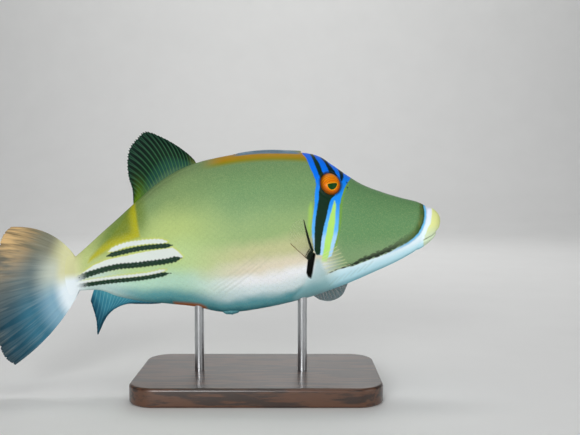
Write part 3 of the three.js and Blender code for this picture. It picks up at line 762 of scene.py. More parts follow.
def skin_fields(x, y, z, around):
    """Distances to the markings and shares that colour and shape the skin"""
    points = np.stack((x, z), -1)
    top, bottom = back_line(x), belly_line(x)
    fields = {"along": x, "height": z, "rim": top - z, "share": (z - bottom) / np.maximum(top - bottom, 0.1)}
    fields.update(marking_fields(points))
    fields["mouth"] = line_distance(points, MOUTH_LINE)
    fields["pleats"] = crease_depth(points, CHEEK_PLEATS, CREASE_WIDTH)
    fields["creases"] = crease_depth(points, [*BELLY_CREASES, *JAW_CREASES], CREASE_WIDTH)
    fields["eye"] = eye_coordinates(np.stack((x, y, z), -1))
    fields["nostril"] = least(*[np.hypot(x - a, z - b) for a, b in NOSTRILS])
    slant = math.sqrt(1 - PLATE_DIAGONAL**2)
    rows = [(x * slant + sign * around * PLATE_DIAGONAL) / PLATE_PERIOD for sign in (-1, 1)]
    fields["plate"] = np.maximum(*[bump_at(row - np.round(row), PLATE_EDGE) for row in rows])
    return fields


def mouth_relief(x, z, mouth):
    """Swollen lips with a notch behind them, and the crease of the mouth between two soft folds"""
    edge = LIP_EDGE_X + LIP_SLANT * z
    upper = smoothstep(-6, 1, z)
    blend = lerp(2 * LIP_BLEND, LIP_BLEND, upper)
    lips = LIP_SWELL * lerp(0.5, 1, upper) * smoothstep(edge - blend, edge + 0.6, x)
    notch = 0.25 * bump_at(x - edge + 2.0, 0.7) * (x > 80)
    folds = 0.15 * bump_at(mouth - 1.1, 0.7) - 0.9 * bump_at(mouth, 0.4)
    tip_notch = 0.5 * bump_at(mouth, 1.0) * smoothstep(93, 97, x)
    return lips - notch + smoothstep(edge - 3.4, edge - 1.2, x) * folds - tip_notch


def groove_relief(x, y, z):
    """Groove of the folded first dorsal fin, with a soft rim"""
    half = groove_half(x)
    across = np.clip(y / np.maximum(half, 0.01), 0, 3)
    groove = GROOVE_DEPTH * np.sqrt(np.clip(1 - across**2.4, 0, 1))
    return ((z > widest_line(x)) & (half > 0)) * (0.3 * bump_at(y - half - 0.6, 0.7) - groove)


def skin_relief(x, y, z, fields):
    """Height of the skin above the plain body, in millimetres"""
    eye, slit = fields["eye"], fields["slit"]
    relief = mouth_relief(x, z, fields["mouth"]) + groove_relief(x, y, z)
    for name, place, height, width in FIELD_RELIEF:
        relief += height * bump_at(fields[name] - place, width)
    relief -= EYE_SOCKET_DEPTH * (1 - smoothstep(0.84, 0.95, eye))
    relief += 0.35 * bump_at(slit - 0.7, 0.6) * (x > 29) - GILL_SLIT_DEPTH * smoothstep(0.5, -0.3, slit)
    relief += PLEAT_HEIGHT * fields["pleats"] - CREASE_DEPTH * fields["creases"]
    plain = smoothstep(0.1, 1.2, fields["jaw"]) * smoothstep(1.15, 1.5, eye) * smoothstep(93, 84, x)
    relief -= PLATE_DEPTH * fields["plate"] * lerp(0.3, 1, plain)
    relief += 0.12 * np.sin(x * 0.19 + 1.3) * np.sin(z * 0.16 + x * 0.05)
    dorsal_base = (x > -64) & (x < -26)
    return relief - dorsal_base * 0.16 * bump_at(fields["rim"] - 2.2, 0.5)


def surface_normals(points):
    along = np.gradient(points, axis=0)
    around = np.roll(points, -1, axis=1) - np.roll(points, 1, axis=1)
    normals = np.cross(around, along)
    normals /= np.maximum(np.linalg.norm(normals, axis=-1, keepdims=True), 1e-9)
    outward = points - points.mean(axis=1, keepdims=True)
    return normals * np.sign(np.einsum("ijk,ijk->", normals, outward))


def sleeve(z_end):
    """Middle points and half widths of rings that carry the skin onto the root of the tail fin"""
    top, bottom = back_line(TAIL_END), belly_line(TAIL_END)
    reach = np.linspace(SLEEVE_REACH, 0.012, SLEEVE_STEPS)[:, None]
    u = np.clip((top - z_end) / (top - bottom), 0, 1)[None] + 0 * reach
    edge = np.sqrt(np.clip(1 - (2 * u - 1) ** 6, 0, 1))
    half = np.maximum(half_width_at(TAIL_END, z_end) * (1 - reach / CAUDAL_ROOT_LENGTH) ** 2, WEB_HALF)
    return caudal_sheet(u, reach + 0 * u), (half + lerp(0.3, -0.12, reach / SLEEVE_REACH)) * edge


def build_skin():
    stations = skin_stations()
    y, z, around = half_rings(stations)
    x = np.broadcast_to(stations[:, None], y.shape)
    fields = skin_fields(x, y, z, around)
    relief = both_sides(skin_relief(x, y, z, fields))
    mirrored = np.concatenate((y, -y[:, -2:0:-1]), axis=1)
    points = np.stack((both_sides(x), mirrored, both_sides(z)), -1)
    points += surface_normals(points) * relief[..., None]
    points[..., 1] += sway(points[..., 0])
    middle, half = sleeve(z[0])
    sideways = np.array([0, 1, 0]) * half[..., None]
    sleeve_points = np.concatenate((middle + sideways, (middle - sideways)[:, -2:0:-1]), axis=1)
    sleeve_around = np.broadcast_to(around[0], half.shape)
    sleeve_fields = skin_fields(middle[..., 0], half, middle[..., 2], sleeve_around)
    points = np.concatenate((sleeve_points, points))
    whole = {name: both_sides(np.concatenate((sleeve_fields[name], values)))
             for name, values in fields.items()}
    rows, columns = points.shape[:2]
    tip = points[-1].mean(axis=0) + (0.02, 0, 0)
    flat = np.concatenate((points.reshape(-1, 3), tip[None]))
    flat_fields = {name: np.append(values.ravel(), values[-1].mean()) for name, values in whole.items()}
    ring = np.arange(columns)
    last = (rows - 1) * columns
    tip_fan = np.stack((last + ring, last + (ring + 1) % columns, np.full(columns, rows * columns)), 1)
    lower = np.arange(1, HALF_AROUND - 1)
    tail_cap = np.stack((lower + 1, lower, columns - lower, columns - lower - 1), 1)
    cap_ends = np.array([[0, columns - 1, 1], [HALF_AROUND, HALF_AROUND - 1, HALF_AROUND + 1]])
    faces = [grid_quads(rows, columns, wrapped=True), tip_fan, tail_cap, cap_ends]
    return mesh_object("skin", into_room(flat), faces, flat_fields)


def skin_ground(paint):
    """Ground colours of the body, before its markings, with painted shade along the lower edge of the belly
    """
    height = paint.math("ADD", "share", paint.scaled(paint.noise(18, 2), 0.10, -0.05))
    # The lowest stops of the rear and front ramps are painted shade: dark teal along the lower edge of the
    # belly
    rear = paint.ramp(
        height, (0.0, 30, 108, 122), (0.08, 84, 152, 160), (0.2, 176, 214, 194), (0.36, 180, 206, 142),
        (0.6, 174, 194, 120), (0.86, 122, 150, 98), (1.0, 108, 132, 88))
    front = paint.ramp(
        height, (0.0, 30, 114, 130), (0.05, 92, 164, 176), (0.13, 218, 234, 238), (0.21, 240, 242, 246),
        (0.28, 222, 212, 190), (0.38, 190, 192, 144), (0.49, 146, 174, 116), (0.75, 112, 150, 100),
        (1.0, 102, 134, 90))
    head = paint.ramp(
        height, (0.0, 150, 176, 158), (0.2, 124, 156, 112), (0.45, 100, 144, 96), (1.0, 88, 132, 88))
    stalk = paint.mix(paint.where(share=(0.25, 0.55)), (188, 212, 208), (176, 190, 122))
    patch = paint.mix(paint.where(yellow=(6.5, 0.8)), (112, 128, 36), (172, 168, 6))
    paint.colour = paint.mix(paint.where(along=(-44, -4)), rear, front)
    paint.lay(paint.where(along=(28, 46)), head)
    paint.lay(paint.where(along=(-62, -88)), stalk)
    paint.lay(paint.where(patch=(9, 1), share=(0.55, 0.85), along=(-92, -76)), (106, 130, 58))
    paint.lay(paint.inside("patch", 1.1), patch, 0.95)


def skin_grain(paint):
    """Plates and fine grain, and the golden rim of the back over them"""
    paint.lay("plate", (70, 92, 60), 0.05)
    paint.lay(paint.step(paint.noise(0.55, 2, 0.7), 0.42, 0.68), (214, 222, 150), 0.12)
    paint.lay(paint.step(paint.noise(0.7, 2, 0.7, (1.1, 1, 0.9)), 0.5, 0.7), (70, 96, 66), 0.13)
    golden = paint.mix(paint.where(rim=(4.4, 2.0)), (132, 128, 20), (166, 126, 0))
    paint.lay(paint.both(paint.where(rim=(6.0, 3.6), along=(-27, -12)), paint.where(along=(34, 31))), golden)
    slate = paint.mix(paint.noise(2.2, 3, 0.6, (0.25, 1, 1)), (62, 92, 112), (122, 148, 162))
    paint.lay(paint.both(paint.where(rim=(1.4, 0.8), along=(-9, -3)), paint.where(along=(30, 26))), slate)


def skin_mouth(paint, wobble):
    """White jaw with painted shade at its lower edge and a blue edge at the snout, the dark streak above it,
    and the lips
    """
    # The lowest stop of the jaw ramp is painted shade, darker blue along the lower edge of the jaw
    jaw = paint.ramp(
        "share", (0.0, 132, 200, 216), (0.07, 196, 238, 250), (0.2, 230, 248, 255), (1.0, 232, 238, 254))
    paint.lay(paint.both(paint.inside("jaw", 0.5, wobble=wobble), paint.where(along=(27, 44))), jaw)
    brown = paint.mix(paint.step(paint.noise(2.4, 3), 0.4, 0.62), (66, 92, 40), (94, 104, 48))
    brown = paint.mix(paint.where(jaw=(1.3, 0.4)), brown, (40, 66, 30))
    snout = paint.where(jaw=(4.6, 1.2), along=(66, 88))
    paint.lay(paint.both(snout, paint.inside("streak", 1.1, 0.9, wobble)), brown, 0.9)
    edge = paint.where(streak=(1.7, 0.3), along=(60, 90))
    paint.lay(paint.both(edge, paint.inside("jaw", 0.4, wobble=wobble)), (104, 196, 246))
    jagged = paint.math("ADD", wobble, paint.scaled("plate", 0.9, -0.3))
    black = paint.mix(paint.where(jaw=(3.0, 0.8)), (84, 98, 74), (30, 38, 32))
    cheek = paint.both(paint.where(along=(88, 66)), paint.where(along=(28, 42)))
    paint.lay(paint.both(cheek, paint.inside("streak", 0.45, -0.2, jagged)), black, 0.95)
    lips = paint.mix(paint.where(height=(-7, 1)), (214, 232, 200), (232, 238, 158))
    paint.lay(paint.inside("lips", 0.4, wobble=wobble), lips)
    # Painted shade: the crease of the mouth is darkened along the lips
    paint.lay(paint.both(paint.where(mouth=(0.5, 0.1)), paint.inside("lips", 0.4, 0.6)), (112, 112, 70), 0.5)


def skin_mask(paint, wobble):
    """Blue field of the head with its dark band, bars and yellow wedge, and painted shade round the eye
    socket
    """
    paint.lay(paint.inside("strip", 1.2), (158, 198, 92))
    paint.lay(paint.inside("thread", 0.7), (120, 168, 30), 0.7)
    blue = paint.ramp(
        paint.scaled("height", 0.02), (0.0, 166, 212, 248), (0.1, 96, 184, 252), (0.4, 28, 142, 244),
        (0.72, 0, 112, 238), (1.0, 0, 96, 226))
    paint.lay(paint.inside("blue", 0.32, wobble=wobble), blue)
    wedge = paint.both(paint.inside("wedge", 0.45, 0.1, wobble), paint.where(height=(-14, -8)))
    paint.lay(wedge, (178, 228, 112))
    paint.lay(paint.inside("dark", 0.34, 0.14, wobble), (12, 44, 26))
    paint.lay(paint.inside("bars", 0.34, 0.22, wobble), (8, 36, 44))
    # Painted shade in a ring round the rim of the eye socket
    paint.lay(paint.where(eye=(1.16, 0.98)), (30, 44, 34), 0.7)


def skin_lines(paint, wobble):
    """Pleats, stalk bands and lines, tail fin root, and painted shade in creases, under the throat fold and
    in openings
    """
    paint.lay(paint.where(pleats=(0.02, 0.5), along=(44, 28)), (206, 206, 150), 0.12)
    paint.lay(paint.where(pleats=(0.3, 1)), (216, 220, 170), 0.5)
    # Painted shade in the creases of the belly and jaw
    paint.lay("creases", (148, 160, 132), 0.16)
    paint.lay(paint.inside("white", 0.9, 0.5, wobble), (204, 206, 96), 0.8)
    paint.lay(paint.inside("white", 0.35, wobble=wobble), (214, 222, 216))
    paint.lay(paint.inside("black", 0.4, 0.05, wobble), (30, 56, 40))
    root = paint.mix(paint.where(share=(0.3, 0.58)), (226, 236, 240), (206, 206, 156))
    paint.lay(paint.where(along=(-91, -99.5)), root)
    # Painted shade on the throat, below the fold of the gill girdle
    paint.lay(paint.inside("throat", 1.6), (148, 190, 194), 0.6)
    paint.lay(paint.both(paint.inside("vent", 1.4), paint.where(share=(0.2, 0.08))), (164, 86, 14), 0.9)
    # Painted shade: the nostrils and the gill slit are laid dark as the shade inside these openings
    paint.lay(paint.where(nostril=(0.7, 0.3)), (20, 50, 70), 0.8)
    paint.lay(paint.inside("slit", 0.3, 0.35), (8, 10, 6))


def skin_material():
    paint = Paint("triggerfish_skin", Specular_IOR_Level=0.1, Coat_Weight=0.02, Coat_Roughness=0.35)
    wobble = paint.scaled(paint.noise(1.3, 2), 0.6, -0.3)
    skin_ground(paint)
    skin_grain(paint)
    skin_mouth(paint, wobble)
    skin_mask(paint, wobble)
    skin_lines(paint, wobble)
    grains = paint.bump(paint.cells(0.55), 0.05, 0.5)
    normal = paint.bump(paint.noise(0.3, 3), 0.03, 0.35, grains)
    return paint.finish(paint.scaled(paint.noise(1.6, 3), 0.2, 0.36), normal)


# Fins: a middle surface each, with branched rays raised on both faces

def caudal_sheet(u, v):
    """Tail fin, from the end of the stalk. u runs down across the rays, v out along them"""
    top, bottom = back_line(TAIL_END) - 0.27, belly_line(TAIL_END) + 0.27
    end = curve_at(CAUDAL_MARGIN, u)
    root_x, root_z = TAIL_END - 0.3, lerp(top, bottom, np.clip(u, 0, 1))
    arch = 4 * v * (1 - v)
    rise = CAUDAL_UPPER_BOW * np.maximum(0, 1 - 2 * u) ** 1.5
    rise = rise - CAUDAL_LOWER_BOW * np.maximum(0, 2 * u - 1) ** 1.5
    bend = CAUDAL_WAVE * np.sin(np.pi * (2 * u - 0.5)) * np.maximum(v, 0) ** 2
    x = lerp(root_x, end[..., 0], v) + 0.55 * np.abs(rise) * arch
    z = lerp(root_z, end[..., 1], v) + 0.83 * rise * arch
    return np.stack((x, sway(x) + bend, z), -1)


def median_sheet(fin, base_line):
    """Fin on the back or belly line, its root sunk a little into the body"""
    def sheet(u, v):
        root_x = lerp(fin["front"], fin["rear"], u)
        root_z = base_line(root_x) - FIN_ROOT_SINK * fin["side"]
        end = curve_at(fin["margin"], u)
        bow = fin["bow"] * 4 * v * (1 - v) * np.sin(np.pi * np.clip(u, 0, 1))
        bend = fin["wave"] * np.sin(2.2 * np.pi * u + 0.4) * np.maximum(v, 0) ** 1.6
        x = lerp(root_x, end[..., 0], v)
        z = lerp(root_z, end[..., 1], v) + bow * 0.44 * fin["side"]
        return np.stack((x + bow * 0.9, sway(x) + bend, z), -1)
    return sheet


def pectoral_sheet(side, reach):
    """Paired fin, a fan from a short root on the flank"""
    def sheet(u, v):
        x = lerp(PECTORAL_ROOT_TOP[0], PECTORAL_ROOT_BOTTOM[0], u)
        z = lerp(PECTORAL_ROOT_TOP[1], PECTORAL_ROOT_BOTTOM[1], u)
        root = np.stack((x, side * half_width_at(x, z) + sway(x), z), -1)
        cup = 1.6 * np.sin(np.pi * np.clip(u, 0, 1)) * v * v
        return root + curve_at(reach, u) * v[..., None] + np.stack((-0.4 * cup, side * cup, 0 * cup), -1)
    return sheet


def ray_ridge(place, v, forks):
    """Height from 0 to 1 of rays at whole places, each parting in two at each fork"""
    offsets = [np.zeros_like(v)]
    for order, fork in enumerate(forks):
        reach = 0.24 / 2**order * smoothstep(fork, 1.15, v)
        offsets = [offset + sign * reach for offset in offsets for sign in (-1, 1)]
    width = 0.17 / (1 + 0.6 * len(forks) * smoothstep(min(forks, default=1), 1, v))
    distance = place - np.round(place)
    return np.maximum.reduce([bump_at(distance - offset, width) for offset in offsets])


def build_fin(name, sheet, root_half, rays, forks, root_length, start=0.0, ray_columns=10, fray=0.0,
              rise=1.0):
    """Fin on both faces of its middle surface. fray cuts the web back between the tips of its rays"""
    columns = (rays - 1) * ray_columns + 1
    u, v = np.meshgrid(np.linspace(0, 1, columns), np.linspace(start, 1, FIN_ROWS), indexing="ij")
    ridge = ray_ridge(u * (rays - 1), v, forks)
    reach = v * (1 - fray * (1 - ridge) * smoothstep(0.8, 1, v))
    middle = sheet(u, reach)
    across = sheet(np.clip(u + 0.004, 0, 1), reach) - sheet(np.clip(u - 0.004, 0, 1), reach)
    outward = sheet(u, reach + 0.01) - sheet(u, reach - 0.01)
    normal = np.cross(across, outward)
    normal /= np.maximum(np.linalg.norm(normal, axis=-1, keepdims=True), 1e-9)
    joints = 1 - 0.16 * smoothstep(0.25, 0.5, v) * (0.5 + 0.5 * np.cos(2 * np.pi * v * RAY_JOINTS))
    web = lerp(WEB_HALF, MARGIN_HALF, v)
    root = root_half(u) * np.maximum(0, 1 - v / root_length) ** 2
    height = rise * (RAY_HALF - WEB_HALF) * ridge * joints * (1 - 0.7 * np.maximum(v, 0))
    half = np.maximum(root, web + height)
    left = (middle + normal * half[..., None]).reshape(-1, 3)
    right = (middle - normal * half[..., None]).reshape(-1, 3)
    count = len(left)
    grid = grid_quads(columns, FIN_ROWS)
    index = np.arange(count).reshape(columns, FIN_ROWS)
    rim = np.concatenate((index[:-1, 0], index[-1, :-1], index[:0:-1, -1], index[0, :0:-1]))
    following = np.roll(rim, -1)
    band = np.stack((rim, rim + count, following + count, following), 1)
    fields = {key: np.tile(values.ravel(), 2) for key, values in (("u", u), ("v", v), ("ray", ridge))}
    faces = [grid, grid[:, ::-1] + count, band]
    return mesh_object(name, into_room(np.concatenate((left, right))), faces, fields)


def dorsal_colour(paint):
    web = paint.ramp(
        "v", (0.0, 72, 108, 80), (0.2, 28, 74, 62), (0.45, 2, 34, 18), (0.8, 0, 20, 12), (1.0, 4, 28, 22))
    rays = paint.ramp("v", (0.0, 96, 132, 80), (0.3, 58, 112, 70), (1.0, 48, 88, 66))
    paint.colour = paint.mix(paint.rays(0.75), web, rays)
    paint.lay(paint.where(u=(0.66, 0.98), v=(1.0, 0.3)), (98, 134, 6), 0.9)
    paint.lay(paint.where(u=(0.16, 0.0), v=(1.0, 0.2)), (132, 140, 60), 0.6)
    paint.lay(paint.streaks(60), (10, 34, 26), 0.3)


def anal_colour(paint):
    web = paint.ramp("v", (0.0, 76, 152, 164), (0.3, 52, 128, 148), (0.7, 28, 84, 104), (1.0, 14, 50, 62))
    rays = paint.ramp("v", (0.0, 120, 188, 196), (1.0, 50, 112, 128))
    paint.colour = paint.mix(paint.rays(0.5), web, rays)
    paint.lay(paint.streaks(40), (20, 66, 92), 0.4)


def caudal_colour(paint):
    """Cream root, then warm grey at the top and blue below, with pale and dark streaks and light tips"""
    upper = paint.ramp(
        "v", (0.0, 206, 206, 156), (0.18, 204, 204, 158), (0.45, 122, 122, 104), (0.8, 108, 100, 76),
        (1.0, 126, 106, 74))
    middle = paint.ramp(
        "v", (0.0, 206, 206, 156), (0.18, 206, 206, 164), (0.3, 188, 196, 182), (0.6, 96, 112, 114),
        (1.0, 92, 96, 92))
    lower = paint.ramp(
        "v", (0.0, 226, 236, 240), (0.18, 222, 234, 240), (0.34, 124, 164, 184), (0.58, 50, 106, 128),
        (0.85, 16, 66, 84), (1.0, 8, 46, 60))
    paint.colour = paint.mix(paint.where(u=(0.16, 0.42)), upper, middle)
    paint.lay(paint.where(u=(0.42, 0.7)), lower)
    paint.lay(paint.rays(0.05), (190, 196, 184))
    streaks, outer = paint.streaks(70), paint.where(v=(0.2, 0.6))
    paint.lay(paint.both(paint.step(streaks, 0.5, 0.3), outer), (40, 66, 74), 0.22)
    paint.lay(paint.both(paint.step(streaks, 0.54, 0.74), outer), (176, 178, 166), 0.17)
    tips = paint.both(paint.where(v=(0.5, 0.95), u=(0.52, 0.2)), paint.step(paint.streaks(34), 0.3, 0.62))
    paint.lay(tips, (218, 182, 128), 0.85)


def leading_edge(paint):
    """Leading edge of a paired fin, wider towards its root; on the near fin it carries painted shade"""
    return paint.step(paint.math("SUBTRACT", "u", paint.scaled("v", -0.18, 0.18)), 0.05, 0.0)


def near_pectoral_colour(paint):
    paint.colour = paint.mix(paint.rays(0.7), (188, 198, 150), (214, 214, 176))
    paint.lay(paint.where(u=(0.88, 1.0)), (140, 92, 36))
    # Painted shade: the leading edge and the root are laid dark where the fin meets the head
    paint.lay(paint.either(leading_edge(paint), paint.where(v=(0.12, 0.06))), (26, 36, 26))


def far_pectoral_colour(paint):
    paint.colour = paint.mix(paint.rays(0.7), (52, 96, 104), (96, 140, 146))
    paint.lay(paint.streaks(30), (30, 60, 68), 0.3)


def steady_alpha(web, rays):
    def alpha(paint):
        return paint.scaled(paint.where(ray=(0.1, 0.8)), rays - web, web)
    return alpha


def near_pectoral_alpha(paint):
    """Nearly clear, with a firm leading edge and root and a thin lower edge"""
    lower_edge = paint.scaled(paint.where(u=(0.9, 1.0)), 0.8)
    rays = paint.scaled(paint.where(ray=(0.3, 0.95)), 0.12, 0.06)
    root = paint.scaled(paint.where(v=(0.1, 0.05)), 0.9)
    return paint.either(leading_edge(paint), lower_edge, rays, root)


def caudal_root_half(u):
    return half_width_at(TAIL_END, lerp(back_line(TAIL_END), belly_line(TAIL_END), u))


def median_root_half(u):
    return np.full_like(u, 0.9)


def pectoral_root_half(u):
    return np.full_like(u, 0.8)


def build_fins():
    """Each fin by its name, with its solid, middle surface, root, colour and clearness"""
    right, left = (pectoral_sheet(side, PECTORAL_REACH[side]) for side in (-1, 1))
    fins = {
        "soft_dorsal": ("soft_dorsal_fin", median_sheet(SOFT_DORSAL, back_line), median_root_half,
                        dorsal_colour, steady_alpha(0.99, 1.0)),
        "anal": ("anal_fin", median_sheet(ANAL_FIN, belly_line), median_root_half,
                 anal_colour, steady_alpha(0.98, 1.0)),
        "tail_fin": ("caudal_fin", caudal_sheet, caudal_root_half, caudal_colour, steady_alpha(0.98, 1.0)),
        "near_pectoral": ("pectoral_fin_right", right, pectoral_root_half,
                          near_pectoral_colour, near_pectoral_alpha),
        "far_pectoral": ("pectoral_fin_left", left, pectoral_root_half,
                         far_pectoral_colour, steady_alpha(0.55, 0.7)),
    }
    for name, (node, sheet, root_half, lay_colour, alpha_of) in fins.items():
        fin = build_fin(name, sheet, root_half, **FIN_RAYS[name])
        paint = Paint(name + "_membrane", Specular_IOR_Level=0.07, Coat_Weight=0.01, Coat_Roughness=0.35)
        lay_colour(paint)
        normal = paint.bump(paint.noise(0.5, 3), 0.04, 0.4)
        dress(fin, paint.finish(0.5, normal, alpha_of(paint)), "fin_membrane", node)


# Eyes

PUPIL = [(-2.5, -0.8), (-0.1, -0.75), (2.6, -0.9), (2.6, -1.7), (1.7, -3.0), (0.3, -3.9), (-1.1, -3.9),
         (-2.1, -3.0), (-2.6, -1.9)]


def build_eye(name, side, node, material):
    """Eyeball as a dome on the flank, with a sunken pupil and folds above it"""
    tilt, turn = round_angles(72, 120)
    across, height = np.sin(tilt) * np.cos(turn), np.sin(tilt) * np.sin(turn)
    depth = np.cos(tilt) + 0 * turn
    flat = np.stack((across * EYE_HALF[0], height * EYE_HALF[1]), -1)
    pupil = polygon_distance(flat, np.array(PUPIL))
    centre_distance = np.hypot(flat[..., 0], (flat[..., 1] + 2.3) * 1.2)
    relief = 0.1 * bump_at(pupil - 0.45, 0.35) - 0.22 * smoothstep(0.25, -0.3, pupil)
    relief += 0.05 * np.sin(centre_distance * IRIS_FOLDS) * smoothstep(1.4, 2.4, centre_distance)
    reach = EYE_DEPTH + relief * (depth > 0)
    centre, along, upward, outward = flank_frame(*EYE_PLACE, side)
    centre = centre - EYE_SINK * outward
    points = centre + flat[..., :1] * along + flat[..., 1:] * upward + (depth * reach)[..., None] * outward
    poles = np.stack((centre + outward * EYE_DEPTH, centre - outward * EYE_DEPTH))
    fields = {"pupil": pupil, "centre_distance": centre_distance, "eye_height": flat[..., 1],
              "eye_share": np.sin(tilt) + 0 * turn}
    dress(closed_form(name, into_room(points), into_room(poles), fields), material, "eye", node)


def eye_material():
    paint = Paint("eye_orange", Specular_IOR_Level=0.1, Coat_Weight=0.05, Coat_Roughness=0.06)
    noise = paint.noise(0.9, 3)
    folds = paint.math("ADD", paint.scaled("centre_distance", IRIS_FOLDS), paint.scaled(noise, 2.6))
    folds = paint.step(paint.math("SINE", folds), -0.2, 0.9)
    paint.colour = paint.mix(paint.where(eye_height=(-4, 4)), (226, 108, 0), (232, 140, 0))
    paint.lay(paint.both(folds, paint.where(eye_height=(-1.6, 0.6))), (182, 62, 0), 0.55)
    # Painted shade darkens the rim of the eye where it sinks into the socket
    paint.lay(paint.where(eye_share=(0.6, 0.95)), (122, 64, 0))
    paint.lay(paint.where(pupil=(0.7, 0.15)), (240, 168, 10), 0.8)
    # The pupil is dark, with a green tint that is a painted reflection from the back of the eye
    paint.lay(paint.where(pupil=(0.22, -0.1)), (14, 64, 16))
    return paint.finish(0.34, paint.bump(noise, 0.04, 0.3))


# Folded first dorsal fin, pelvic knob and thorns

def build_first_dorsal():
    """Closed slim boat along the back line, with fine folds along its top"""
    spec = FIRST_DORSAL
    share = np.linspace(0.012, 0.988, 160)[:, None]
    angle = np.linspace(0, 2 * math.pi, 96, endpoint=False)[None, :]
    x = lerp(spec["rear"], spec["front"], share) + 0 * angle
    fullness = np.sin(np.pi * np.minimum(share * 1.1, 1 - (share - 0.45) * 0.55)) ** 0.5
    upward = np.sin(angle)
    y = spec["half"] * fullness * np.cos(angle)
    z = back_line(x) + np.where(upward > 0, spec["rise"], spec["depth"]) * fullness * upward
    z += (0.12 * np.cos(y * 9) - 0.1 * bump_at(y, 0.16)) * (upward > 0)
    points = np.stack((x, y + sway(x), z), -1)
    ends = np.stack((points[0].mean(0), points[-1].mean(0)))
    fields = {"v": share + 0 * angle, "side": np.abs(y / spec["half"])}
    fin = closed_form("folded_first_dorsal", into_room(points), into_room(ends), fields)
    paint = Paint("first_dorsal_membrane", Coat_Weight=0.1, Coat_Roughness=0.3)
    paint.colour = paint.mix(paint.noise(2.2, 3, 0.6, (0.25, 1, 1)), (64, 96, 116), (122, 148, 160))
    paint.lay(paint.where(side=(0.62, 0.95)), (74, 100, 116))
    paint.lay(paint.where(v=(0.8, 1.0)), (120, 132, 96))
    normal = paint.bump(paint.noise(0.8, 3, 0.6, (0.3, 1, 1)), 0.08, 0.5)
    dress(fin, paint.finish(0.45, normal), "fin_membrane", "first_dorsal_fin")


def build_pelvic_knob():
    """Rough knob at the end of the pelvis, with blunt spines in rows"""
    tilt, turn = round_angles(48, 72)
    spec = PELVIC_KNOB
    half = np.array([spec["length"], spec["width"], spec["height"]]) / 2
    centre = np.array([spec["x"], 0, belly_line(spec["x"]) + half[2] - spec["drop"]])
    ridge = 1 + 0.10 * np.maximum(0, np.cos(turn * 7)) * np.maximum(0, np.sin(tilt * 9)) ** 2
    across = np.sin(tilt) * ridge
    shares = np.stack((np.cos(tilt) + 0 * turn, across * np.cos(turn), across * np.sin(turn)), -1)
    poles = centre + half * np.array([[1, 0, 0], [-1, 0, 0]])
    knob = closed_form("pelvic_knob", into_room(centre + half * shares), into_room(poles))
    paint = Paint("pelvic_knob_skin")
    paint.colour = paint.mix(paint.noise(1.2, 3), (44, 112, 124), (96, 156, 162))
    dress(knob, paint.finish(0.5, paint.bump(paint.cells(0.6), 0.15, 0.7)), "fish_skin", "pelvic_spine")


def thorn_points(x, z, side, size, turn):
    """Low ring, high ring, tip and buried foot of one thorn that lies forward on the flank"""
    place, along, upward, outward = flank_frame(x, z, side)
    ring = size / 2 * (np.cos(turn) * along * THORN_LENGTH + np.sin(turn) * upward * THORN_WIDTH)
    tip = size * (along * THORN_LENGTH * 0.45 + outward * THORN_HEIGHT)
    low = place - outward * THORN_SINK
    high = place + outward * 0.16 + ring * 0.6 + tip * 0.3
    return np.vstack((low + ring, high, low + tip + outward * 0.25, low - outward * THORN_SINK))


def build_thorns():
    """Small thorns along the black lines, joined into one mesh"""
    sides = 8
    ring = np.arange(sides)
    following = (ring + 1) % sides
    tip, foot = np.full(sides, 2 * sides), np.full(sides, 2 * sides + 1)
    thorn_faces = np.concatenate([np.stack(corners, 1) for corners in (
        (ring, following, sides + ring), (following, sides + following, sides + ring),
        (sides + ring, sides + following, tip), (following, ring, foot))])
    turn = np.linspace(0, 2 * math.pi, sides, endpoint=False)[:, None]
    thorns = []
    for row in THORN_ROWS:
        (start_x, start_z), (end_x, end_z) = row["start"], row["end"]
        for share in np.linspace(0, 1, row["count"]):
            x = lerp(start_x, end_x, share)
            z = lerp(start_z, end_z, share) + row["rise"] * 4 * share * (1 - share)
            size = 0.75 + 0.25 * math.sin(math.pi * share)
            thorns += [thorn_points(x, z, side, size, turn) for side in (-1, 1)]
    faces = np.concatenate([thorn_faces + index * len(thorns[0]) for index in range(len(thorns))])
    obj = mesh_object("stalk_thorns", into_room(np.concatenate(thorns)), [faces])
    paint = Paint("thorn_black")
    paint.colour = paint.mix(paint.noise(0.8, 2), (24, 46, 42), (52, 74, 66))
    dress(obj, paint.finish(0.4), "fish_skin")


# Stand

def build_base():
    """Plate with round corners and a rounded rim at its top and underside"""
    base = STAND_BASE
    steps, corner_steps = 10, 16
    rim = [(base["bevel"] * (1 - math.sin(a)), base["bevel"] * (1 - math.cos(a)))
           for a in np.linspace(0, math.pi / 2, steps)]
    rings = []
    for inset, height in rim + [(inset, base["height"] - height) for inset, height in rim[::-1]]:
        ring = []
        radius = base["corner"] - inset
        for quarter, (right, back) in enumerate([(1, 1), (-1, 1), (-1, -1), (1, -1)]):
            x = (base["length"] / 2 - base["corner"]) * right
            y = (base["width"] / 2 - base["corner"]) * back
            for angle in np.linspace(quarter * math.pi / 2, (quarter + 1) * math.pi / 2, corner_steps):
                ring.append((x + radius * math.cos(angle), y + radius * math.sin(angle), height))
        rings.append(ring)
    dress(closed_form("display_base", np.array(rings) * MM), wood_material(), "stand_wood", "stand_base")


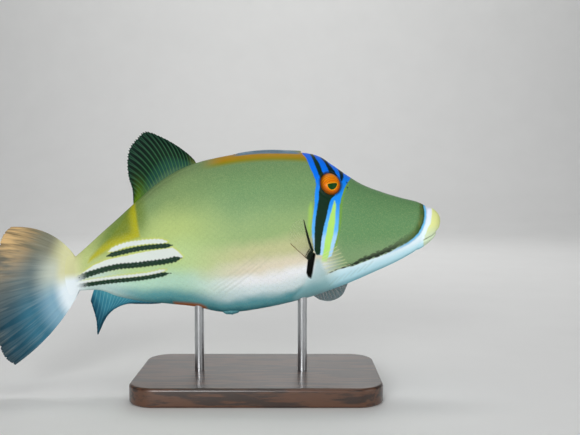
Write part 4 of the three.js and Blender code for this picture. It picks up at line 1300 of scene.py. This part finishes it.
def build_rod(name, node):
    """Steel rod in the place of its solid, with small chamfers"""
    low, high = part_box(node)
    centre = (low + high) / 2
    bottom, top = low.z, high.z
    radius, chamfer = ROD_RADIUS * MM, ROD_CHAMFER * MM
    levels = [(radius - chamfer, bottom), (radius, bottom + chamfer), (radius, lerp(bottom, top, 0.5)),
              (radius, top - chamfer), (radius - chamfer, top)]
    turn = np.linspace(0, 2 * math.pi, 64, endpoint=False)
    rings = [[(centre.x + r * math.cos(a), centre.y + r * math.sin(a), z) for a in turn] for r, z in levels]
    rod = closed_form(name, np.array(rings))
    rod.data.set_sharp_from_angle(angle=math.radians(40))
    paint = Paint("brushed_" + name, Metallic=1.0)
    brushed = paint.noise(0.35, 3, 0.7, (1, 1, 0.03))
    paint.colour = paint.mix(brushed, (150, 152, 154), (206, 208, 210))
    normal = paint.bump(brushed, 0.02, 0.3)
    dress(rod, paint.finish(paint.scaled(brushed, 0.18, 0.2), normal), "stand_steel", node)


def wood_material():
    paint = Paint("walnut_varnish", Coat_Weight=0.5, Coat_Roughness=0.15)
    grain = paint.noise(7, 5, 0.6, (0.12, 1, 1))
    pores = paint.noise(0.8, 3, 0.7, (0.06, 1, 1))
    rings = paint.math("SINE", paint.scaled(grain, 26))
    paint.colour = paint.mix(paint.step(rings, -0.8, 0.9), (46, 28, 18), (84, 52, 32))
    paint.lay(paint.step(pores, 0.55, 0.72), (24, 14, 9), 0.55)
    return paint.finish(0.38, paint.bump(pores, 0.05, 0.25))


# Room: floor, lights and camera

def build_floor():
    """Pale floor that curves up into a backdrop far behind the model"""
    depth, reach, radius = 1.6, 1.4, 0.5
    arc = [(depth - radius + radius * math.sin(a), radius - radius * math.cos(a))
           for a in np.linspace(0, math.pi / 2, 24)]
    profile = [(-reach, 0.0), *arc, (depth, 1.8)]
    points = np.array([[(x, y, z) for x in (-2.2, 2.2)] for y, z in profile])
    floor = mesh_object("floor", points.reshape(-1, 3), [grid_quads(len(profile), 2)])
    paint = Paint("pale_floor")
    paint.colour = paint.mix(paint.noise(60, 3), (232, 232, 230), (238, 238, 236))
    floor.data.materials.append(paint.finish(0.7))


def area_light(name, place, aim, size, power, colour=(1, 1, 1)):
    data = bpy.data.lights.new(name, "AREA")
    data.shape = "DISK"
    data.size = size
    data.energy = power
    data.color = colour
    light = bpy.data.objects.new(name, data)
    light.location = place
    light.rotation_euler = (Vector(aim) - Vector(place)).to_track_quat("-Z", "Y").to_euler()
    bpy.context.scene.collection.objects.link(light)


def build_lights():
    aim = (0.0, 0.0, 0.09)
    area_light("key", (-0.2, -0.9, 0.3), aim, 0.45, 5.75)
    area_light("fill", (0.8, -0.55, 0.2), aim, 0.7, 1.8)
    area_light("back", (0.1, 0.8, 0.7), aim, 0.7, 1.2)
    area_light("top", (0.0, -0.2, 1.0), aim, 0.6, 1.1)
    area_light("backdrop", (0.0, 0.55, 1.3), (0.0, 1.6, 0.35), 0.8, 9)
    world = bpy.data.worlds.new("studio")
    world.use_nodes = True
    background = world.node_tree.nodes["Background"]
    background.inputs["Color"].default_value = (0.9, 0.93, 1.0, 1)
    background.inputs["Strength"].default_value = 0.15
    bpy.context.scene.world = world
    bpy.context.scene.view_settings.view_transform = "Standard"


def build_camera():
    data = bpy.data.cameras.new("camera")
    data.lens = LENS
    data.sensor_width = SENSOR
    data.clip_start, data.clip_end = 0.01, 20
    camera = bpy.data.objects.new("camera", data)
    axes = Matrix((VIEW_RIGHT, VIEW_UP, -VIEW_FORWARD)).transposed()
    camera.matrix_world = Matrix.Translation(Vector(CAMERA_PLACE * MM)) @ axes.to_4x4()
    bpy.context.scene.collection.objects.link(camera)
    bpy.context.scene.camera = camera


build_camera()
build_floor()
build_lights()
dress(build_skin(), skin_material(), "fish_skin", "head", "torso", "tail_stalk")
build_fins()
eye_orange = eye_material()
build_eye("right_eye", -1, "eye_right", eye_orange)
build_eye("left_eye", 1, "eye_left", eye_orange)
build_first_dorsal()
build_pelvic_knob()
build_thorns()
build_base()
build_rod("display_rod_front", "stand_rod_front")
build_rod("display_rod_rear", "stand_rod_rear")
